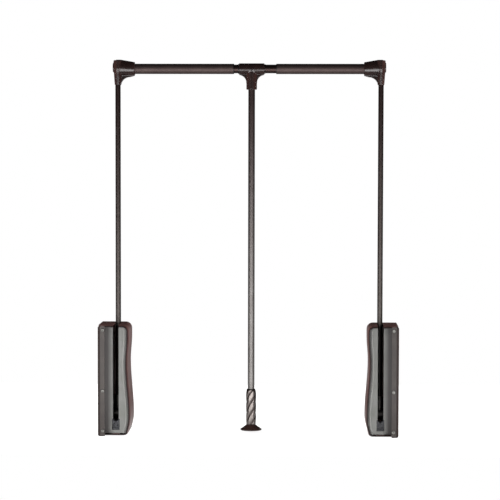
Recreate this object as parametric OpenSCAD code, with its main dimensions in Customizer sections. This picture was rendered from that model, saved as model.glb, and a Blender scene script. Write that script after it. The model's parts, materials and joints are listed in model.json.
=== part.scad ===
// Swing-down clothes rail for a tall wardrobe.
// Two spring casings stand on the cabinet's side walls. Each carries an arm, and the arms hold a
// telescopic rail between them. A pull rod hangs from the rail's tee and tips the frame forward.
// Origin: mid width, mid depth of the casings, level with their lower ends. -Y faces the user.
// The modules below count y from the arms' plane, and left, right and middle move them into place.

/* [Frame] */
// Height of the rail's axis above the casings' lower ends
rail_height = 822; // [700:1:900]
// Distance from each arm's axis to the cabinet's side wall
arm_inset = 40.5; // [38.5:0.5:48]
// Diameter of an arm tube
arm_d = 12; // [10:0.5:12.5]
// Wall of an arm tube
arm_wall = 1.2; // [0.8:0.1:2]
// Diameter of the outer rail tubes
outer_tube_d = 23; // [22:0.5:24]
// Wall of the outer rail tubes
outer_tube_wall = 1; // [0.8:0.1:1.2]
// Diameter of the inner rail tube
inner_tube_d = 19.5; // [18.5:0.1:19.6]
// Wall of the inner rail tube
inner_tube_wall = 1.2; // [0.8:0.1:2]
// Length of the inner rail tube
inner_tube_l = 470; // [440:1:480]
// Place of the inner tube's middle, to the right of mid width
inner_tube_mid = 5; // [0:1:8]
// Right-hand end of the left outer tube, measured from mid width
left_tube_end = 35.7; // [35:0.1:50]
// Left-hand end of the right outer tube, measured from mid width
right_tube_end = 62; // [56:0.1:80]

/* [Tee and pull rod] */
// Place of the pull rod, to the right of mid width
rod_x = 5.4; // [0:0.1:7]
// Length of the tee's sleeve along the rail
tee_length = 57; // [48:0.5:57]
// Outer diameter of the tee's sleeve
tee_d = 25; // [23.5:0.5:28]
// Outer diameter of the tee's socket
tee_socket_d = 23.7; // [20:0.1:26]
// Length of the tee's socket below the rail's axis
tee_socket_l = 46.4; // [40:0.1:60]
// Radius of the fillet between sleeve and socket
tee_fillet = 15; // [8:0.5:16]
// Thickness of the tee's webs
tee_web = 9; // [5:0.5:14]
// Diameter of the pull rod
rod_d = 15; // [12:0.5:16]
// Wall of the pull rod
rod_wall = 1.2; // [0.8:0.1:2]
// Height of the grip's lower end above the casings' lower ends
grip_z = 20.2; // [15:0.1:40]
// Length of the grip
grip_l = 80.5; // [60:0.5:120]
// Mean radius of the grip's twisted section
grip_r = 10; // [9:0.1:12]
// Height of the grip's lobes over its mean radius
grip_lobe = 1.4; // [0.5:0.1:2]
// Number of lobes round the grip
grip_lobes = 4; // [3:1:6]
// Height of one whole turn of the grip's twist
grip_pitch = 99; // [60:1:160]
// Diameter of the flared foot below the grip
foot_d = 48; // [36:1:60]
// Height of the flared foot
foot_h = 13.2; // [10:0.1:20]

/* [Elbow] */
// Distance from the arm's axis to the sleeve's inner end
elbow_reach = 38.2; // [34:0.1:44]
// Outer diameter of the sleeve at its inner end
elbow_sleeve_d = 30.2; // [28:0.1:33]
// Outer diameter of the elbow's corner
elbow_corner_d = 36.4; // [33:0.1:40]
// Distance from the arm's axis to the elbow's outer face
elbow_hub_x = 11; // [9.5:0.1:13]
// Diameter of the round hub on the outer face
elbow_hub_d = 22; // [16:0.5:26]
// Diameter of the arm socket at its lower end
elbow_socket_d = 17.6; // [16:0.1:20]
// Length of the arm socket below the rail's axis
elbow_socket_l = 36; // [32:0.5:50]
// Depth of the upright block at the rail's axis, front to back
elbow_depth = 35; // [30:0.5:36]
// Radius of the web's fillet
elbow_fillet = 15; // [10:0.5:16]
// Thickness of the elbow's web
elbow_web = 10; // [5:0.5:14]

/* [Casing] */
// Distance between the faces that lie on the cabinet's side walls
overall_w = 672; // [620:1:760]
// Height of a casing
casing_h = 246.5; // [225:0.5:280]
// Depth of a casing, front to back
casing_depth = 100; // [98:1:150]
// Distance of the casings' front faces ahead of the arms' plane
casing_front = 65; // [58:0.5:70]
// Height of the shell's lower face
shell_z = 2.7; // [1:0.1:5]
// Thickness of the base bracket's sheet
bracket_t = 2; // [1.5:0.1:2.5]
// Width of the bracket's front and rear legs
bracket_leg = 15.7; // [14:0.1:18]
// Outer radius of the bracket's bends
bend_r = 5; // [3:0.1:7]
// Radius of the bracket's upper corners
bracket_corner = 2.5; // [2:0.5:10]
// Wall of the shell
shell_wall = 2; // [1.5:0.1:3]
// Radius of the shell's upper inner corner
shell_corner = 11; // [6:0.5:16]
// Radius of the shell's lower inner corner
foot_corner = 7; // [4:0.5:10]
// Distance from the arm's axis to the shoulder of the casing's inner edge
shoulder_w = 25.5; // [19.5:0.1:30]
// Distance from the arm's axis to the waist of the inner edge
waist_w = 22.5; // [17.5:0.1:25]
// Distance from the arm's axis to the belly of the inner edge
belly_w = 29.5; // [21.5:0.1:33.5]
// Distance from the arm's axis to the foot of the inner edge
foot_w = 24; // [11.5:0.1:26]
// Height of the shoulder of the inner edge
shoulder_z = 222; // [200:1:226]
// Height of the waist of the inner edge
waist_z = 165; // [140:1:190]
// Height of the belly of the inner edge
belly_z = 40; // [30:1:90]
// Thickness of the fascia
fascia_t = 2; // [1.5:0.1:3]
// Width of the arm's slot
slot_w = 13.4; // [13:0.1:15]
// Depth of the lips behind the slot's edges
slot_lip = 12; // [6:0.5:16]
// Thickness of the lips behind the slot's edges
lip_t = 1.6; // [1:0.1:2.4]
// Height of the lowest fascia screw
low_screw_z = 12.5; // [11:0.1:14]
// Height of the middle fascia screw
mid_screw_z = 102; // [85:1:125]
// Distance of the top fascia screw below the casing's top
top_screw_drop = 8; // [7:0.1:12]
// Distance from the casing's outer face to the fascia screws
fascia_screw_w = 11.5; // [10:0.1:12]
// Diameter of the fascia screws' shanks
screw_d = 4; // [3:0.1:5]
// Diameter of the fascia screws' heads
screw_head_d = 7.5; // [6:0.1:8.5]
// Height of the fascia screws' heads
screw_head_h = 2.2; // [1:0.1:3]
// Width of the rubber arm stop
stop_w = 17; // [16:0.1:20]
// Height of the arm stop's lower face
stop_z = 14.3; // [10:0.1:16]
// Height of the arm stop's shoulders
stop_top = 39; // [36:0.1:42]
// Depth of the arm stop, front to back
stop_depth = 17; // [12:0.5:17]

/* [Wall screws] */
// Diameter of the wall screw holes
wall_hole_d = 5; // [4:0.1:6]
// Spacing of the wall screw holes, front to back
wall_hole_y = 64; // [48:1:80]
// Spacing of the wall screw holes, up and down
wall_hole_z = 192; // [180:1:200]
// Height of the lower wall screw holes
wall_hole_z0 = 26; // [22:1:28]

/* [Spring mechanism] */
// Height of the pivot axle
pivot_z = 45; // [44:0.5:48]
// Angle that the frame swings forward
swing_angle = 95; // [60:1:100]
// Diameter of the pivot axle
axle_d = 10; // [8:0.5:10]
// Outer diameter of the carrier's bushes
bush_d = 14; // [12.5:0.5:15]
// Outer diameter of the arm carrier's hub
hub_d = 26; // [22:0.5:28]
// Outer diameter of the arm carrier's socket
carrier_socket_d = 17; // [15:0.5:18]
// Length of the arm carrier's socket above the pivot
carrier_socket_l = 40; // [34:0.5:44]
// Distance from the pivot to the crank roller's pin
crank_r = 20; // [18.5:0.5:22]
// Radius of the crank roller
roller_r = 6; // [5:0.1:6.5]
// Diameter of the roller's pin
pin_d = 6; // [4:0.1:7]
// Distance from the casing's outer face to the spring's axis
spring_w = 16.5; // [16:0.1:17]
// Distance of the spring's axis behind the pivot
spring_y = 17; // [16.5:0.1:19]
// Diameter of the spring's wire
wire_d = 2.5; // [1.5:0.1:3]
// Mean diameter of the spring's coils
spring_d = 18.5; // [17:0.1:19]
// Number of turns of the spring
spring_turns = 20; // [10:1:24]
// Diameter of the plunger's rod
plunger_d = 10; // [8:0.1:11]
// Thickness of the plunger's foot
plunger_foot = 5; // [3:0.5:7]
// Distance of the spring guide's lower face below the casing's top
guide_drop = 51.5; // [46:0.5:62]
// Thickness of the spring guide
guide_h = 12; // [8:0.5:14]

/* [Clearances] */
// Radial clearance of turning and sliding fits
run_gap = 0.05; // [0.02:0.01:0.1]
// Gap between the crank roller and the plunger's foot
roller_gap = 0.35; // [0.2:0.05:0.6]
// Gap between the arm and the stop's saddle with the frame down
saddle_gap = 0.4; // [0.3:0.05:1]
// Gap round loosely fitted covers
cover_gap = 0.1; // [0.05:0.05:0.2]
// Side play between turning pieces
side_gap = 0.3; // [0.2:0.1:0.6]

/* [Hidden] */
$fn = 64;
hull_fn = 32;

PAINT = "#3b2b29";
TUBE = "#5e524e";
PLASTIC = "#2a1816";
FASCIA = "#85827f";
STRIP = "#5d5552";
STEEL = "#b9b9b6";
RUBBER = "#38383b";
SPRING = "#8a8a88";
BRASS = "#a88d55";
GRIP = "#7c6f6c";

face_x = overall_w / 2;
arm_x = face_x - arm_inset;
base_x = face_x - bracket_t;
front_y = -casing_front;
back_y = casing_depth - casing_front;
mid_y = (front_y + back_y) / 2;
leg_x = face_x - bracket_leg;
fascia_y = front_y + bracket_t;
shell_back_y = back_y - bracket_t;
arm_r = arm_d / 2;
outer_r = outer_tube_d / 2;
outer_bore_r = outer_r - outer_tube_wall;
inner_r = inner_tube_d / 2;
rod_r = rod_d / 2;
rod_bore_r = rod_r - rod_wall;

// Stations along the casing's width, from the inner side outward
clip_t = 1.2;
clip_d = axle_d + 5;
boss_d = axle_d + 8;
boss_gap = 2.5;
boss_floor = 2;
hub_x0 = arm_x - carrier_socket_d / 2 - 3;
hub_x1 = arm_x + carrier_socket_d / 2 + 4;
crank_web_t = 3.4;
web_x0 = hub_x1 - crank_web_t;
boss_x0 = arm_x - edge_w(pivot_z) + shell_wall / 2;
boss_x1 = hub_x0 - side_gap - clip_t - boss_gap;
axle_x0 = boss_x0 + shell_wall / 2 + boss_floor;
spring_x = face_x - spring_w;
plunger_w = spring_d - 1.5;
roller_w = plunger_w - 3;
roller_x0 = spring_x - roller_w / 2;
pin_shoulder_d = pin_d + 2;
pin_head_d = pin_d + 3;
pin_head_t = 1.5;

// The crank points back and as far below level at rest as above it with the frame down
crank_angle = -swing_angle / 2;
crank_y = crank_r * cos(crank_angle);
crank_z = pivot_z + crank_r * sin(crank_angle);
guide_z = casing_h - guide_drop;
plunger_z = crank_z + roller_r + roller_gap;
spring_z0 = plunger_z + plunger_foot;
plunger_top = guide_z + guide_h + 2;

arm_z0 = pivot_z + hub_d / 2 + 2;
arm_top = rail_height + 12;
corner_lift = (elbow_corner_d - elbow_sleeve_d) / 2 - 0.7;
tube_seat_x = arm_x - arm_r - 2.5;
sleeve_end_x = arm_x - elbow_reach;
bush_l = 20;
flange_t = 1.5;
glide_l = 8;
ring_t = 1.8;
ring_d = inner_tube_d + 2.5;
tee_x0 = rod_x - tee_length / 2;
tee_x1 = rod_x + tee_length / 2;
rod_top = rail_height - tee_d / 2 - 6;
grip_top = grip_z + grip_l;
foot_z = grip_z - foot_h;
inner_x0 = inner_tube_mid - inner_tube_l / 2;
inner_x1 = inner_tube_mid + inner_tube_l / 2;

// Lugs behind the fascia's edge, and the screws along the casing's outer side
lug_t = 2;
lug_h = 3 * screw_d;
lug_y = fascia_y + fascia_t;
screw_x = face_x - fascia_screw_w;
screw_l = bracket_t + fascia_t + lug_t + 1.5 * screw_d;
fascia_screw_z = [low_screw_z, mid_screw_z, casing_h - top_screw_drop];
rear_low_z = 24;
rear_drop = 24.5;
rear_screw_z = [rear_low_z, casing_h - rear_drop];
rear_boss_l = 2.5 * screw_d;
rear_screw_l = bracket_t + rear_boss_l - 3;
axle_boss_l = 5;
// Left edge of the blocks that only have to reach past the casing's inner side
past_x = arm_x - 2 * belly_w;

// Spring, its guide and the plunger
spring_sides = 6;
spring_rings = 8;
coil_gap = 0.6;
guide_screw_d = 4;
guide_screw_head = 7;
guide_screw_sink = 3;
guide_screw_out = plunger_d / 2 + 4.2;
guide_screw_y = [spring_y - guide_screw_out, spring_y + guide_screw_out];
guide_x0 = spring_x - spring_d / 2 - wire_d / 2 - 1;
guide_y0 = spring_y - guide_screw_out - 3.8;
guide_y1 = spring_y + guide_screw_out + 3.8;
plunger_y0 = spring_y - spring_d / 2 - wire_d / 2;
plunger_y1 = spring_y + spring_d / 2 + 0.25;
plunger_seat_r = spring_d / 2 - wire_d / 2 - 1.2;

// Arm carrier, pins and screws
crank_eye_r = roller_r + 0.5;
crank_bar_w = 2 * crank_eye_r - 2;
arm_pin_d = 4;
arm_pin_z = pivot_z + carrier_socket_l - 10;
small_screw_d = 3;
small_head_d = 5.6;
small_head_h = 1.6;
elbow_screw_z = rail_height - elbow_socket_l + 9;
elbow_screw_x = sleeve_end_x + 12;
rod_screw_z = rail_height - tee_socket_l + 10;

// Grip and foot
grip_sides = 32;
grip_rings = 34;
grip_shoulder = 9;
grip_spigot_l = 16;
// Height above the grip's lower end at which a lobe faces straight to the side
grip_turn_z = 62.8;
foot_screw_d = 4;
foot_screw_bite = 10.5;
foot_rim = 2.4;
foot_wall = 2.2;
foot_web = 5.5;

SIDE_NODES = [
    "base_bracket", "shell", "fascia", "fascia_screws", "rear_screws", "arm_stop",
    "pivot_axle", "axle_clips", "spring_guide", "guide_screws", "spring", "plunger",
    "arm_carrier", "carrier_bushes", "crank_roller", "roller_pin", "arm_pin", "arm_tube",
    "elbow", "elbow_screws", "outer_tube", "guide_bush"
];
MIDDLE_NODES = [
    "inner_tube", "tube_glides", "tee_rings", "tee", "rod_screw", "pull_rod", "grip",
    "rod_foot", "foot_screw"
];

// A point every few degrees of an arc from angle a0 to a1
function arc(cx, cy, r, a0, a1, steps = 8) =
    [for (i = [0:steps]) let (a = a0 + (a1 - a0) * i / steps) [cx + r * cos(a), cy + r * sin(a)]];

// Smooth step from 0 to 1 along half a cosine wave
function ease(t) = (1 - cos(180 * t)) / 2;

// Distance of the casing's inner edge from the arm's axis at height z
function edge_w(z) =
    z >= shoulder_z ? shoulder_w :
    z >= waist_z ? waist_w + (shoulder_w - waist_w) * ease((z - waist_z) / (shoulder_z - waist_z)) :
    z >= belly_z ? belly_w + (waist_w - belly_w) * ease((z - belly_z) / (waist_z - belly_z)) :
    belly_w + (foot_w - belly_w) * (1 - cos(90 * (belly_z - z) / (belly_z - foot_top())));

function foot_top() = shell_z + foot_corner;

module rod_along_x(r, x0, x1, y = 0, z = 0) {
    translate([x0, y, z]) rotate([0, 90, 0]) cylinder(r = r, h = x1 - x0);
}

module rod_along_y(r, y0, y1, x = 0, z = 0) {
    translate([x, y1, z]) rotate([90, 0, 0]) cylinder(r = r, h = y1 - y0);
}

module rod_along_z(r, z0, z1, x = 0, y = 0) {
    translate([x, y, z0]) cylinder(r = r, h = z1 - z0);
}

// Box from one corner to the opposite one
module block(a, b) {
    translate(a) cube(b - a);
}

// A flat outline in X and Z, made solid from y0 to y1
module slab_y(y0, y1) {
    translate([0, y1, 0]) rotate([90, 0, 0]) linear_extrude(height = y1 - y0) children();
}

module left() {
    mirror([1, 0, 0]) translate([0, -mid_y, 0]) children();
}

module right() {
    translate([0, -mid_y, 0]) children();
}

module middle() {
    translate([0, -mid_y, 0]) children();
}

// Outline of the shell's side of the casing, set in by w all round, open toward the wall
module shell_outline(w) {
    z_top = casing_h - w;
    z_low = shell_z + w;
    x_top = arm_x - shoulder_w + w;
    x_foot = arm_x - foot_w + w;
    r_top = shell_corner - w;
    r_foot = foot_corner - w;
    steps = 44;
    z_hi = z_top - r_top;
    z_lo = z_low + r_foot;
    polygon(concat(
        [[base_x, z_low], [base_x, z_top]],
        arc(x_top + r_top, z_hi, r_top, 90, 180),
        [for (i = [1:steps - 1]) let (z = z_hi + (z_lo - z_hi) * i / steps)
            [arm_x - edge_w(z) + w, z]],
        arc(x_foot + r_foot, z_lo, r_foot, 180, 270)
    ));
}

// Envelope that rounds the casing's corners next to the wall
module corner_envelope() {
    r = bracket_corner;
    slab_y(front_y - 1, back_y + 1)
        polygon(concat(
            [[past_x, -1], [past_x, casing_h]],
            arc(face_x - r, casing_h - r, r, 90, 0),
            arc(face_x - bend_r, bend_r, bend_r, 0, -90),
            [[face_x - bend_r, -1]]
        ));
}

// Channel of bent sheet: a base on the wall, and a leg at the front and at the back
module bracket_channel() {
    r = bend_r;
    t = bracket_t;
    linear_extrude(height = casing_h)
        polygon(concat(
            [[leg_x, front_y]],
            arc(face_x - r, front_y + r, r, -90, 0),
            arc(face_x - r, back_y - r, r, 0, 90),
            [[leg_x, back_y], [leg_x, back_y - t]],
            arc(face_x - r, back_y - r, r - t, 90, 0),
            arc(face_x - r, front_y + r, r - t, 0, -90),
            [[leg_x, front_y + t]]
        ));
}

module base_bracket() {
    color(STRIP)
    difference() {
        union() {
            intersection() {
                bracket_channel();
                corner_envelope();
            }
            // Tapped lugs behind the fascia's edge
            for (z = fascia_screw_z) {
                z0 = max(z - lug_h / 2, shell_z + shell_wall + cover_gap);
                z1 = min(z + lug_h / 2, casing_h - max(bracket_corner - 2, shell_wall + 1));
                block([leg_x - 2, lug_y, z0], [base_x + 0.5, lug_y + lug_t, z1]);
            }
            rod_along_x(boss_d / 2, base_x - axle_boss_l, base_x + 0.5, 0, pivot_z);
        }
        for (z = fascia_screw_z) {
            rod_along_y(screw_d / 2 + 0.25, front_y - 1, fascia_y + 0.5, screw_x, z);
            rod_along_y(screw_d / 2, lug_y - 1, lug_y + lug_t + 1, screw_x, z);
        }
        for (z = rear_screw_z)
            rod_along_y(screw_d / 2 + 0.25, shell_back_y - 0.5, back_y + 1, screw_x, z);
        for (y = [-1, 1], z = [0, 1])
            rod_along_x(wall_hole_d / 2, base_x - 1, face_x + 1,
                mid_y + y * wall_hole_y / 2, wall_hole_z0 + z * wall_hole_z);
        rod_along_x(axle_d / 2, base_x - axle_boss_l - 1, face_x + 1, 0, pivot_z);
        for (y = guide_screw_y)
            rod_along_x(guide_screw_d / 2, base_x - 1, face_x + 1, y, guide_z + guide_h / 2);
    }
}

module shell() {
    color(PAINT)
    difference() {
        union() {
            intersection() {
                difference() {
                    slab_y(front_y, shell_back_y) shell_outline(0);
                    slab_y(front_y - 1, shell_back_y - shell_wall) shell_outline(shell_wall);
                    // Open toward the wall, where the base bracket closes the casing
                    block([arm_x, front_y - 1, shell_z + shell_wall],
                        [base_x + 1, shell_back_y - shell_wall, casing_h - shell_wall]);
                }
                corner_envelope();
            }
            // Seat under the arm stop
            block([arm_x - stop_w / 2, lug_y + cover_gap, shell_z + shell_wall - 0.5],
                [arm_x + stop_w / 2, fascia_y + 1 + stop_depth, stop_z]);
            // Inner bearing of the axle
            rod_along_x(boss_d / 2, boss_x0, boss_x1, 0, pivot_z);
            for (z = rear_screw_z)
                rod_along_y(screw_d, shell_back_y - rear_boss_l, shell_back_y - 0.5, screw_x, z);
        }
        // The bracket's legs and bends lie over the shell's front and rear edges
        block([leg_x - cover_gap, front_y - 1, shell_z - 1],
            [face_x, lug_y + lug_t + cover_gap, casing_h - shell_wall]);
        block([leg_x - cover_gap, front_y - 1, shell_z - 1],
            [face_x, fascia_y + cover_gap, casing_h + 1]);
        block([face_x - bend_r - cover_gap, front_y - 1, shell_z - 1],
            [face_x, front_y + bend_r, casing_h + 1]);
        block([face_x - bend_r - cover_gap, back_y - bend_r, shell_z - 1],
            [face_x, back_y, casing_h + 1]);
        // Slot for the arm, open at the front
        block([arm_x - slot_w / 2, front_y - 1, casing_h - shell_wall - 1],
            [arm_x + slot_w / 2, 0, casing_h + 1]);
        rod_along_z(slot_w / 2, casing_h - shell_wall - 1, casing_h + 1, arm_x, 0);
        rod_along_x(axle_d / 2, axle_x0, boss_x1 + 1, 0, pivot_z);
        for (z = rear_screw_z)
            rod_along_y(screw_d / 2, shell_back_y - rear_boss_l + 1, shell_back_y + 1, screw_x, z);
    }
}

module fascia() {
    w = shell_wall + cover_gap;
    slot_x0 = arm_x - slot_w / 2;
    slot_x1 = arm_x + slot_w / 2;
    pocket = stop_w / 2 + cover_gap;
    color(FASCIA)
    difference() {
        union() {
            intersection() {
                slab_y(fascia_y, lug_y) shell_outline(w);
                block([past_x, front_y, 0], [face_x - bend_r - cover_gap, 0, casing_h]);
            }
            for (x = [slot_x0 - lip_t, slot_x1])
                block([x, lug_y - 0.5, stop_top + 2], [x + lip_t, lug_y + slot_lip, casing_h - w]);
        }
        block([slot_x0, front_y - 1, stop_top - 1], [slot_x1, 0, casing_h + 1]);
        block([arm_x - pocket, front_y - 1, stop_z], [arm_x + pocket, 0, stop_top + 0.3]);
        for (z = fascia_screw_z)
            rod_along_y(screw_d / 2 + 0.25, front_y - 1, 0, screw_x, z);
    }
}

// Pan-head screw pointing along +Y, with its head's seat at the origin
module pan_screw(d, head_d, head_h, l) {
    rotate([-90, 0, 0])
        rotate_extrude()
            polygon(concat(
                [[0, -head_h]],
                arc(head_d / 2 - head_h * 0.7, -head_h * 0.3, head_h * 0.7, -90, 0, 5),
                [[head_d / 2, 0], [d / 2, 0], [d / 2, l - d / 4], [d / 4, l], [0, l]]
            ));
}

module fascia_screws() {
    color(STEEL)
    for (z = fascia_screw_z)
        translate([screw_x, front_y, z]) pan_screw(screw_d, screw_head_d, screw_head_h, screw_l);
}

module rear_screws() {
    color(STEEL)
    for (z = rear_screw_z)
        translate([screw_x, back_y, z]) rotate([0, 0, 180])
            pan_screw(screw_d, screw_head_d, screw_head_h, rear_screw_l);
}

// Rubber block whose saddle takes the arm when the frame is down
module arm_stop() {
    color(RUBBER)
    difference() {
        block([arm_x - stop_w / 2, fascia_y + 1, stop_z],
            [arm_x + stop_w / 2, fascia_y + 1 + stop_depth, stop_top]);
        translate([arm_x, 0, pivot_z]) rotate([swing_angle, 0, 0])
            cylinder(r = arm_r + saddle_gap, h = 2 * casing_front);
        // Groove across the front face
        rod_along_x(1.2, arm_x - stop_w, arm_x + stop_w, fascia_y + 1, stop_z + 6);
    }
}

module pivot_axle() {
    color(STEEL)
    difference() {
        rod_along_x(axle_d / 2, axle_x0, face_x - 0.5, 0, pivot_z);
        for (x = [hub_x0 - side_gap - clip_t, hub_x1 + side_gap])
            translate([x, 0, pivot_z]) rotate([0, 90, 0])
                difference() {
                    cylinder(r = axle_d, h = clip_t);
                    translate([0, 0, -1]) cylinder(r = axle_d / 2 - 1, h = clip_t + 2);
                }
    }
}

module axle_clips() {
    color(STEEL)
    for (x = [hub_x0 - side_gap - clip_t, hub_x1 + side_gap])
        translate([x, 0, pivot_z]) rotate([0, 90, 0])
            difference() {
                cylinder(r = clip_d / 2, h = clip_t);
                translate([0, 0, -1]) cylinder(r = axle_d / 2 - 1, h = clip_t + 2);
                // Opening that snaps over the axle's groove
                translate([0, -axle_d * 0.36, -1]) cube([clip_d, axle_d * 0.72, clip_t + 2]);
            }
}

// Block on the bracket that holds the spring's upper end and guides the plunger
module spring_guide() {
    color(STEEL)
    difference() {
        block([guide_x0, guide_y0, guide_z], [base_x, guide_y1, guide_z + guide_h]);
        rod_along_z(plunger_d / 2 + run_gap, guide_z - 1, guide_z + guide_h + 1, spring_x, spring_y);
        for (y = guide_screw_y) {
            rod_along_x(guide_screw_d / 2, guide_x0 - 1, base_x + 1, y, guide_z + guide_h / 2);
            rod_along_x(guide_screw_head / 2, guide_x0 - 1, guide_x0 + guide_screw_sink,
                y, guide_z + guide_h / 2);
        }
    }
}

module guide_screws() {
    color(STEEL)
    for (y = guide_screw_y)
        translate([guide_x0 + guide_screw_sink, y, guide_z + guide_h / 2]) rotate([0, 0, -90])
            pan_screw(guide_screw_d, guide_screw_head, guide_screw_sink - 0.5,
                face_x - 0.5 - guide_x0 - guide_screw_sink);
}

function coil_rise(t) =
    let (
        r = wire_d / 2,
        low = (wire_d + coil_gap),
        body = guide_z - spring_z0 - wire_d - 2 * low,
        n = spring_turns
    )
    spring_z0 + r + (
        t <= 1 ? low * t :
        t >= n - 1 ? low + body + low * (t - (n - 1)) :
        low + body * (t - 1) / (n - 2)
    );

function coil_point(t, r = spring_d / 2) =
    [spring_x + r * cos(360 * t), spring_y + r * sin(360 * t), coil_rise(t)];

function coil_ring(t) =
    [for (i = [0:spring_sides - 1]) let (a = 360 * i / spring_sides)
        coil_point(t, spring_d / 2 + wire_d / 2 * cos(a)) + [0, 0, wire_d / 2 * sin(a)]];

coil_steps = spring_turns * spring_rings;
coil_points = [for (i = [0:coil_steps]) each coil_ring(i / spring_rings)];
least_gap = min([for (i = [0:coil_steps - spring_rings])
    norm(coil_point((i + spring_rings) / spring_rings) - coil_point(i / spring_rings))]) - wire_d;
echo(least_gap_of_the_spring = least_gap);

module spring() {
    s = spring_sides;
    last = coil_steps * s;
    sides = [for (i = [0:coil_steps - 1], j = [0:s - 1])
        let (a = i * s + j, b = i * s + (j + 1) % s)
        each [[a, a + s, b], [b, a + s, b + s]]];
    start = [for (j = [1:s - 2]) [0, j, j + 1]];
    end = [for (j = [1:s - 2]) [last, last + j + 1, last + j]];
    color(SPRING) polyhedron(points = coil_points, faces = concat(sides, start, end));
}

// Rod through the spring, with a flat foot that the crank's roller pushes up
module plunger() {
    color(STEEL)
    union() {
        block([spring_x - plunger_w / 2, plunger_y0, plunger_z],
            [spring_x + plunger_w / 2, plunger_y1, plunger_z + plunger_foot]);
        rod_along_z(plunger_seat_r, plunger_z + plunger_foot - 0.5,
            plunger_z + plunger_foot + 3, spring_x, spring_y);
        rod_along_z(plunger_d / 2, plunger_z + plunger_foot - 0.5, plunger_top, spring_x, spring_y);
    }
}

module arm_carrier() {
    color(STEEL)
    difference() {
        union() {
            rod_along_x(hub_d / 2, hub_x0, web_x0, 0, pivot_z);
            rod_along_x(hub_d / 2 + 0.4, web_x0, hub_x1, 0, pivot_z);
            rod_along_z(carrier_socket_d / 2, pivot_z, pivot_z + carrier_socket_l, arm_x, 0);
            rod_along_x(crank_eye_r, web_x0, hub_x1, crank_y, crank_z);
            translate([web_x0 + 0.2, 0, pivot_z]) rotate([crank_angle, 0, 0])
                translate([0, 0, -crank_bar_w / 2])
                    cube([crank_web_t - 0.4, crank_r, crank_bar_w]);
        }
        rod_along_x(bush_d / 2, hub_x0 - 1, hub_x1 + 1, 0, pivot_z);
        rod_along_z(arm_r, arm_z0, pivot_z + carrier_socket_l + 1, arm_x, 0);
        rod_along_x(pin_d / 2, web_x0 - 1, hub_x1 + 1, crank_y, crank_z);
        rod_along_y(arm_pin_d / 2, -carrier_socket_d, carrier_socket_d, arm_x, arm_pin_z);
    }
}

module carrier_bushes() {
    l = (hub_x1 - hub_x0) / 2 - 3;
    color(BRASS)
    for (x = [hub_x0, hub_x1 - l])
        difference() {
            rod_along_x(bush_d / 2, x, x + l, 0, pivot_z);
            rod_along_x(axle_d / 2 + run_gap, x - 1, x + l + 1, 0, pivot_z);
        }
}

module crank_roller() {
    color(BRASS)
    difference() {
        rod_along_x(roller_r, roller_x0, roller_x0 + roller_w, crank_y, crank_z);
        rod_along_x(pin_d / 2 + run_gap, roller_x0 - 1, roller_x0 + roller_w + 1, crank_y, crank_z);
    }
}

module roller_pin() {
    color(STEEL)
    union() {
        rod_along_x(pin_d / 2, web_x0, roller_x0 + roller_w + side_gap + 0.5, crank_y, crank_z);
        rod_along_x(pin_shoulder_d / 2, hub_x1, roller_x0 - side_gap, crank_y, crank_z);
        rod_along_x(pin_head_d / 2, roller_x0 + roller_w + side_gap,
            roller_x0 + roller_w + side_gap + pin_head_t, crank_y, crank_z);
    }
}

module arm_pin() {
    color(STEEL) rod_along_y(arm_pin_d / 2, -carrier_socket_d / 2, carrier_socket_d / 2, arm_x, arm_pin_z);
}

module arm_tube() {
    color(TUBE)
    difference() {
        rod_along_z(arm_r, arm_z0, arm_top, arm_x, 0);
        rod_along_z(arm_r - arm_wall, arm_z0 - 1, arm_top + 1, arm_x, 0);
        rod_along_y(arm_pin_d / 2, -arm_d, arm_d, arm_x, arm_pin_z);
        rod_along_y(small_screw_d / 2, 0, arm_d, arm_x, elbow_screw_z);
    }
}

// Thin oval disc on an arm's axis
module oval_disc(rx, ry, z) {
    translate([arm_x, 0, z]) scale([1, ry / rx, 1]) cylinder(r = rx, h = 1);
}

// Moulded corner: a sleeve over the rail that grows toward a hub, and a socket over the arm
module elbow() {
    corner_r = elbow_corner_d / 2;
    corner_z = rail_height + corner_lift;
    socket_r = elbow_socket_d / 2;
    socket_z = rail_height - elbow_socket_l;
    web_z = rail_height - elbow_sleeve_d / 2;
    fillet_x = arm_x - socket_r - elbow_fillet;
    color(PLASTIC)
    difference() {
        union() {
            hull($fn = hull_fn) {
                rod_along_x(elbow_sleeve_d / 2, sleeve_end_x, sleeve_end_x + 2, 0, rail_height);
                rod_along_x(corner_r, arm_x - 6, arm_x + 3, 0, corner_z);
                rod_along_x(corner_r - 3, arm_x + 3, arm_x + 7.5, 0, corner_z);
            }
            rod_along_x(elbow_hub_d / 2, arm_x, arm_x + elbow_hub_x, 0, rail_height + 3);
            translate([arm_x, 0, socket_z]) cylinder(r1 = socket_r, r2 = socket_r + 1, h = elbow_socket_l);
            // The upright block grows deeper toward the rail
            hull($fn = hull_fn) {
                oval_disc(socket_r + 0.6, socket_r + 1.7, socket_z + elbow_socket_l / 2 - 2);
                oval_disc(socket_r + 1, elbow_depth / 2 - 1.4, rail_height - 8);
                oval_disc(socket_r + 1.2, elbow_depth / 2, rail_height - 1);
            }
            difference() {
                block([fillet_x, -elbow_web / 2, web_z - elbow_fillet], [arm_x, elbow_web / 2, web_z + 4]);
                rod_along_y(elbow_fillet, -elbow_web, elbow_web, fillet_x, web_z - elbow_fillet);
            }
        }
        rod_along_x(outer_r, sleeve_end_x - 1, tube_seat_x, 0, rail_height);
        rod_along_z(arm_r, socket_z - 1, arm_top, arm_x, 0);
        rod_along_y(small_screw_d / 2, 0, elbow_corner_d, elbow_screw_x, rail_height);
        rod_along_y(small_screw_d / 2, 0, elbow_corner_d, arm_x, elbow_screw_z);
    }
}

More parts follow.
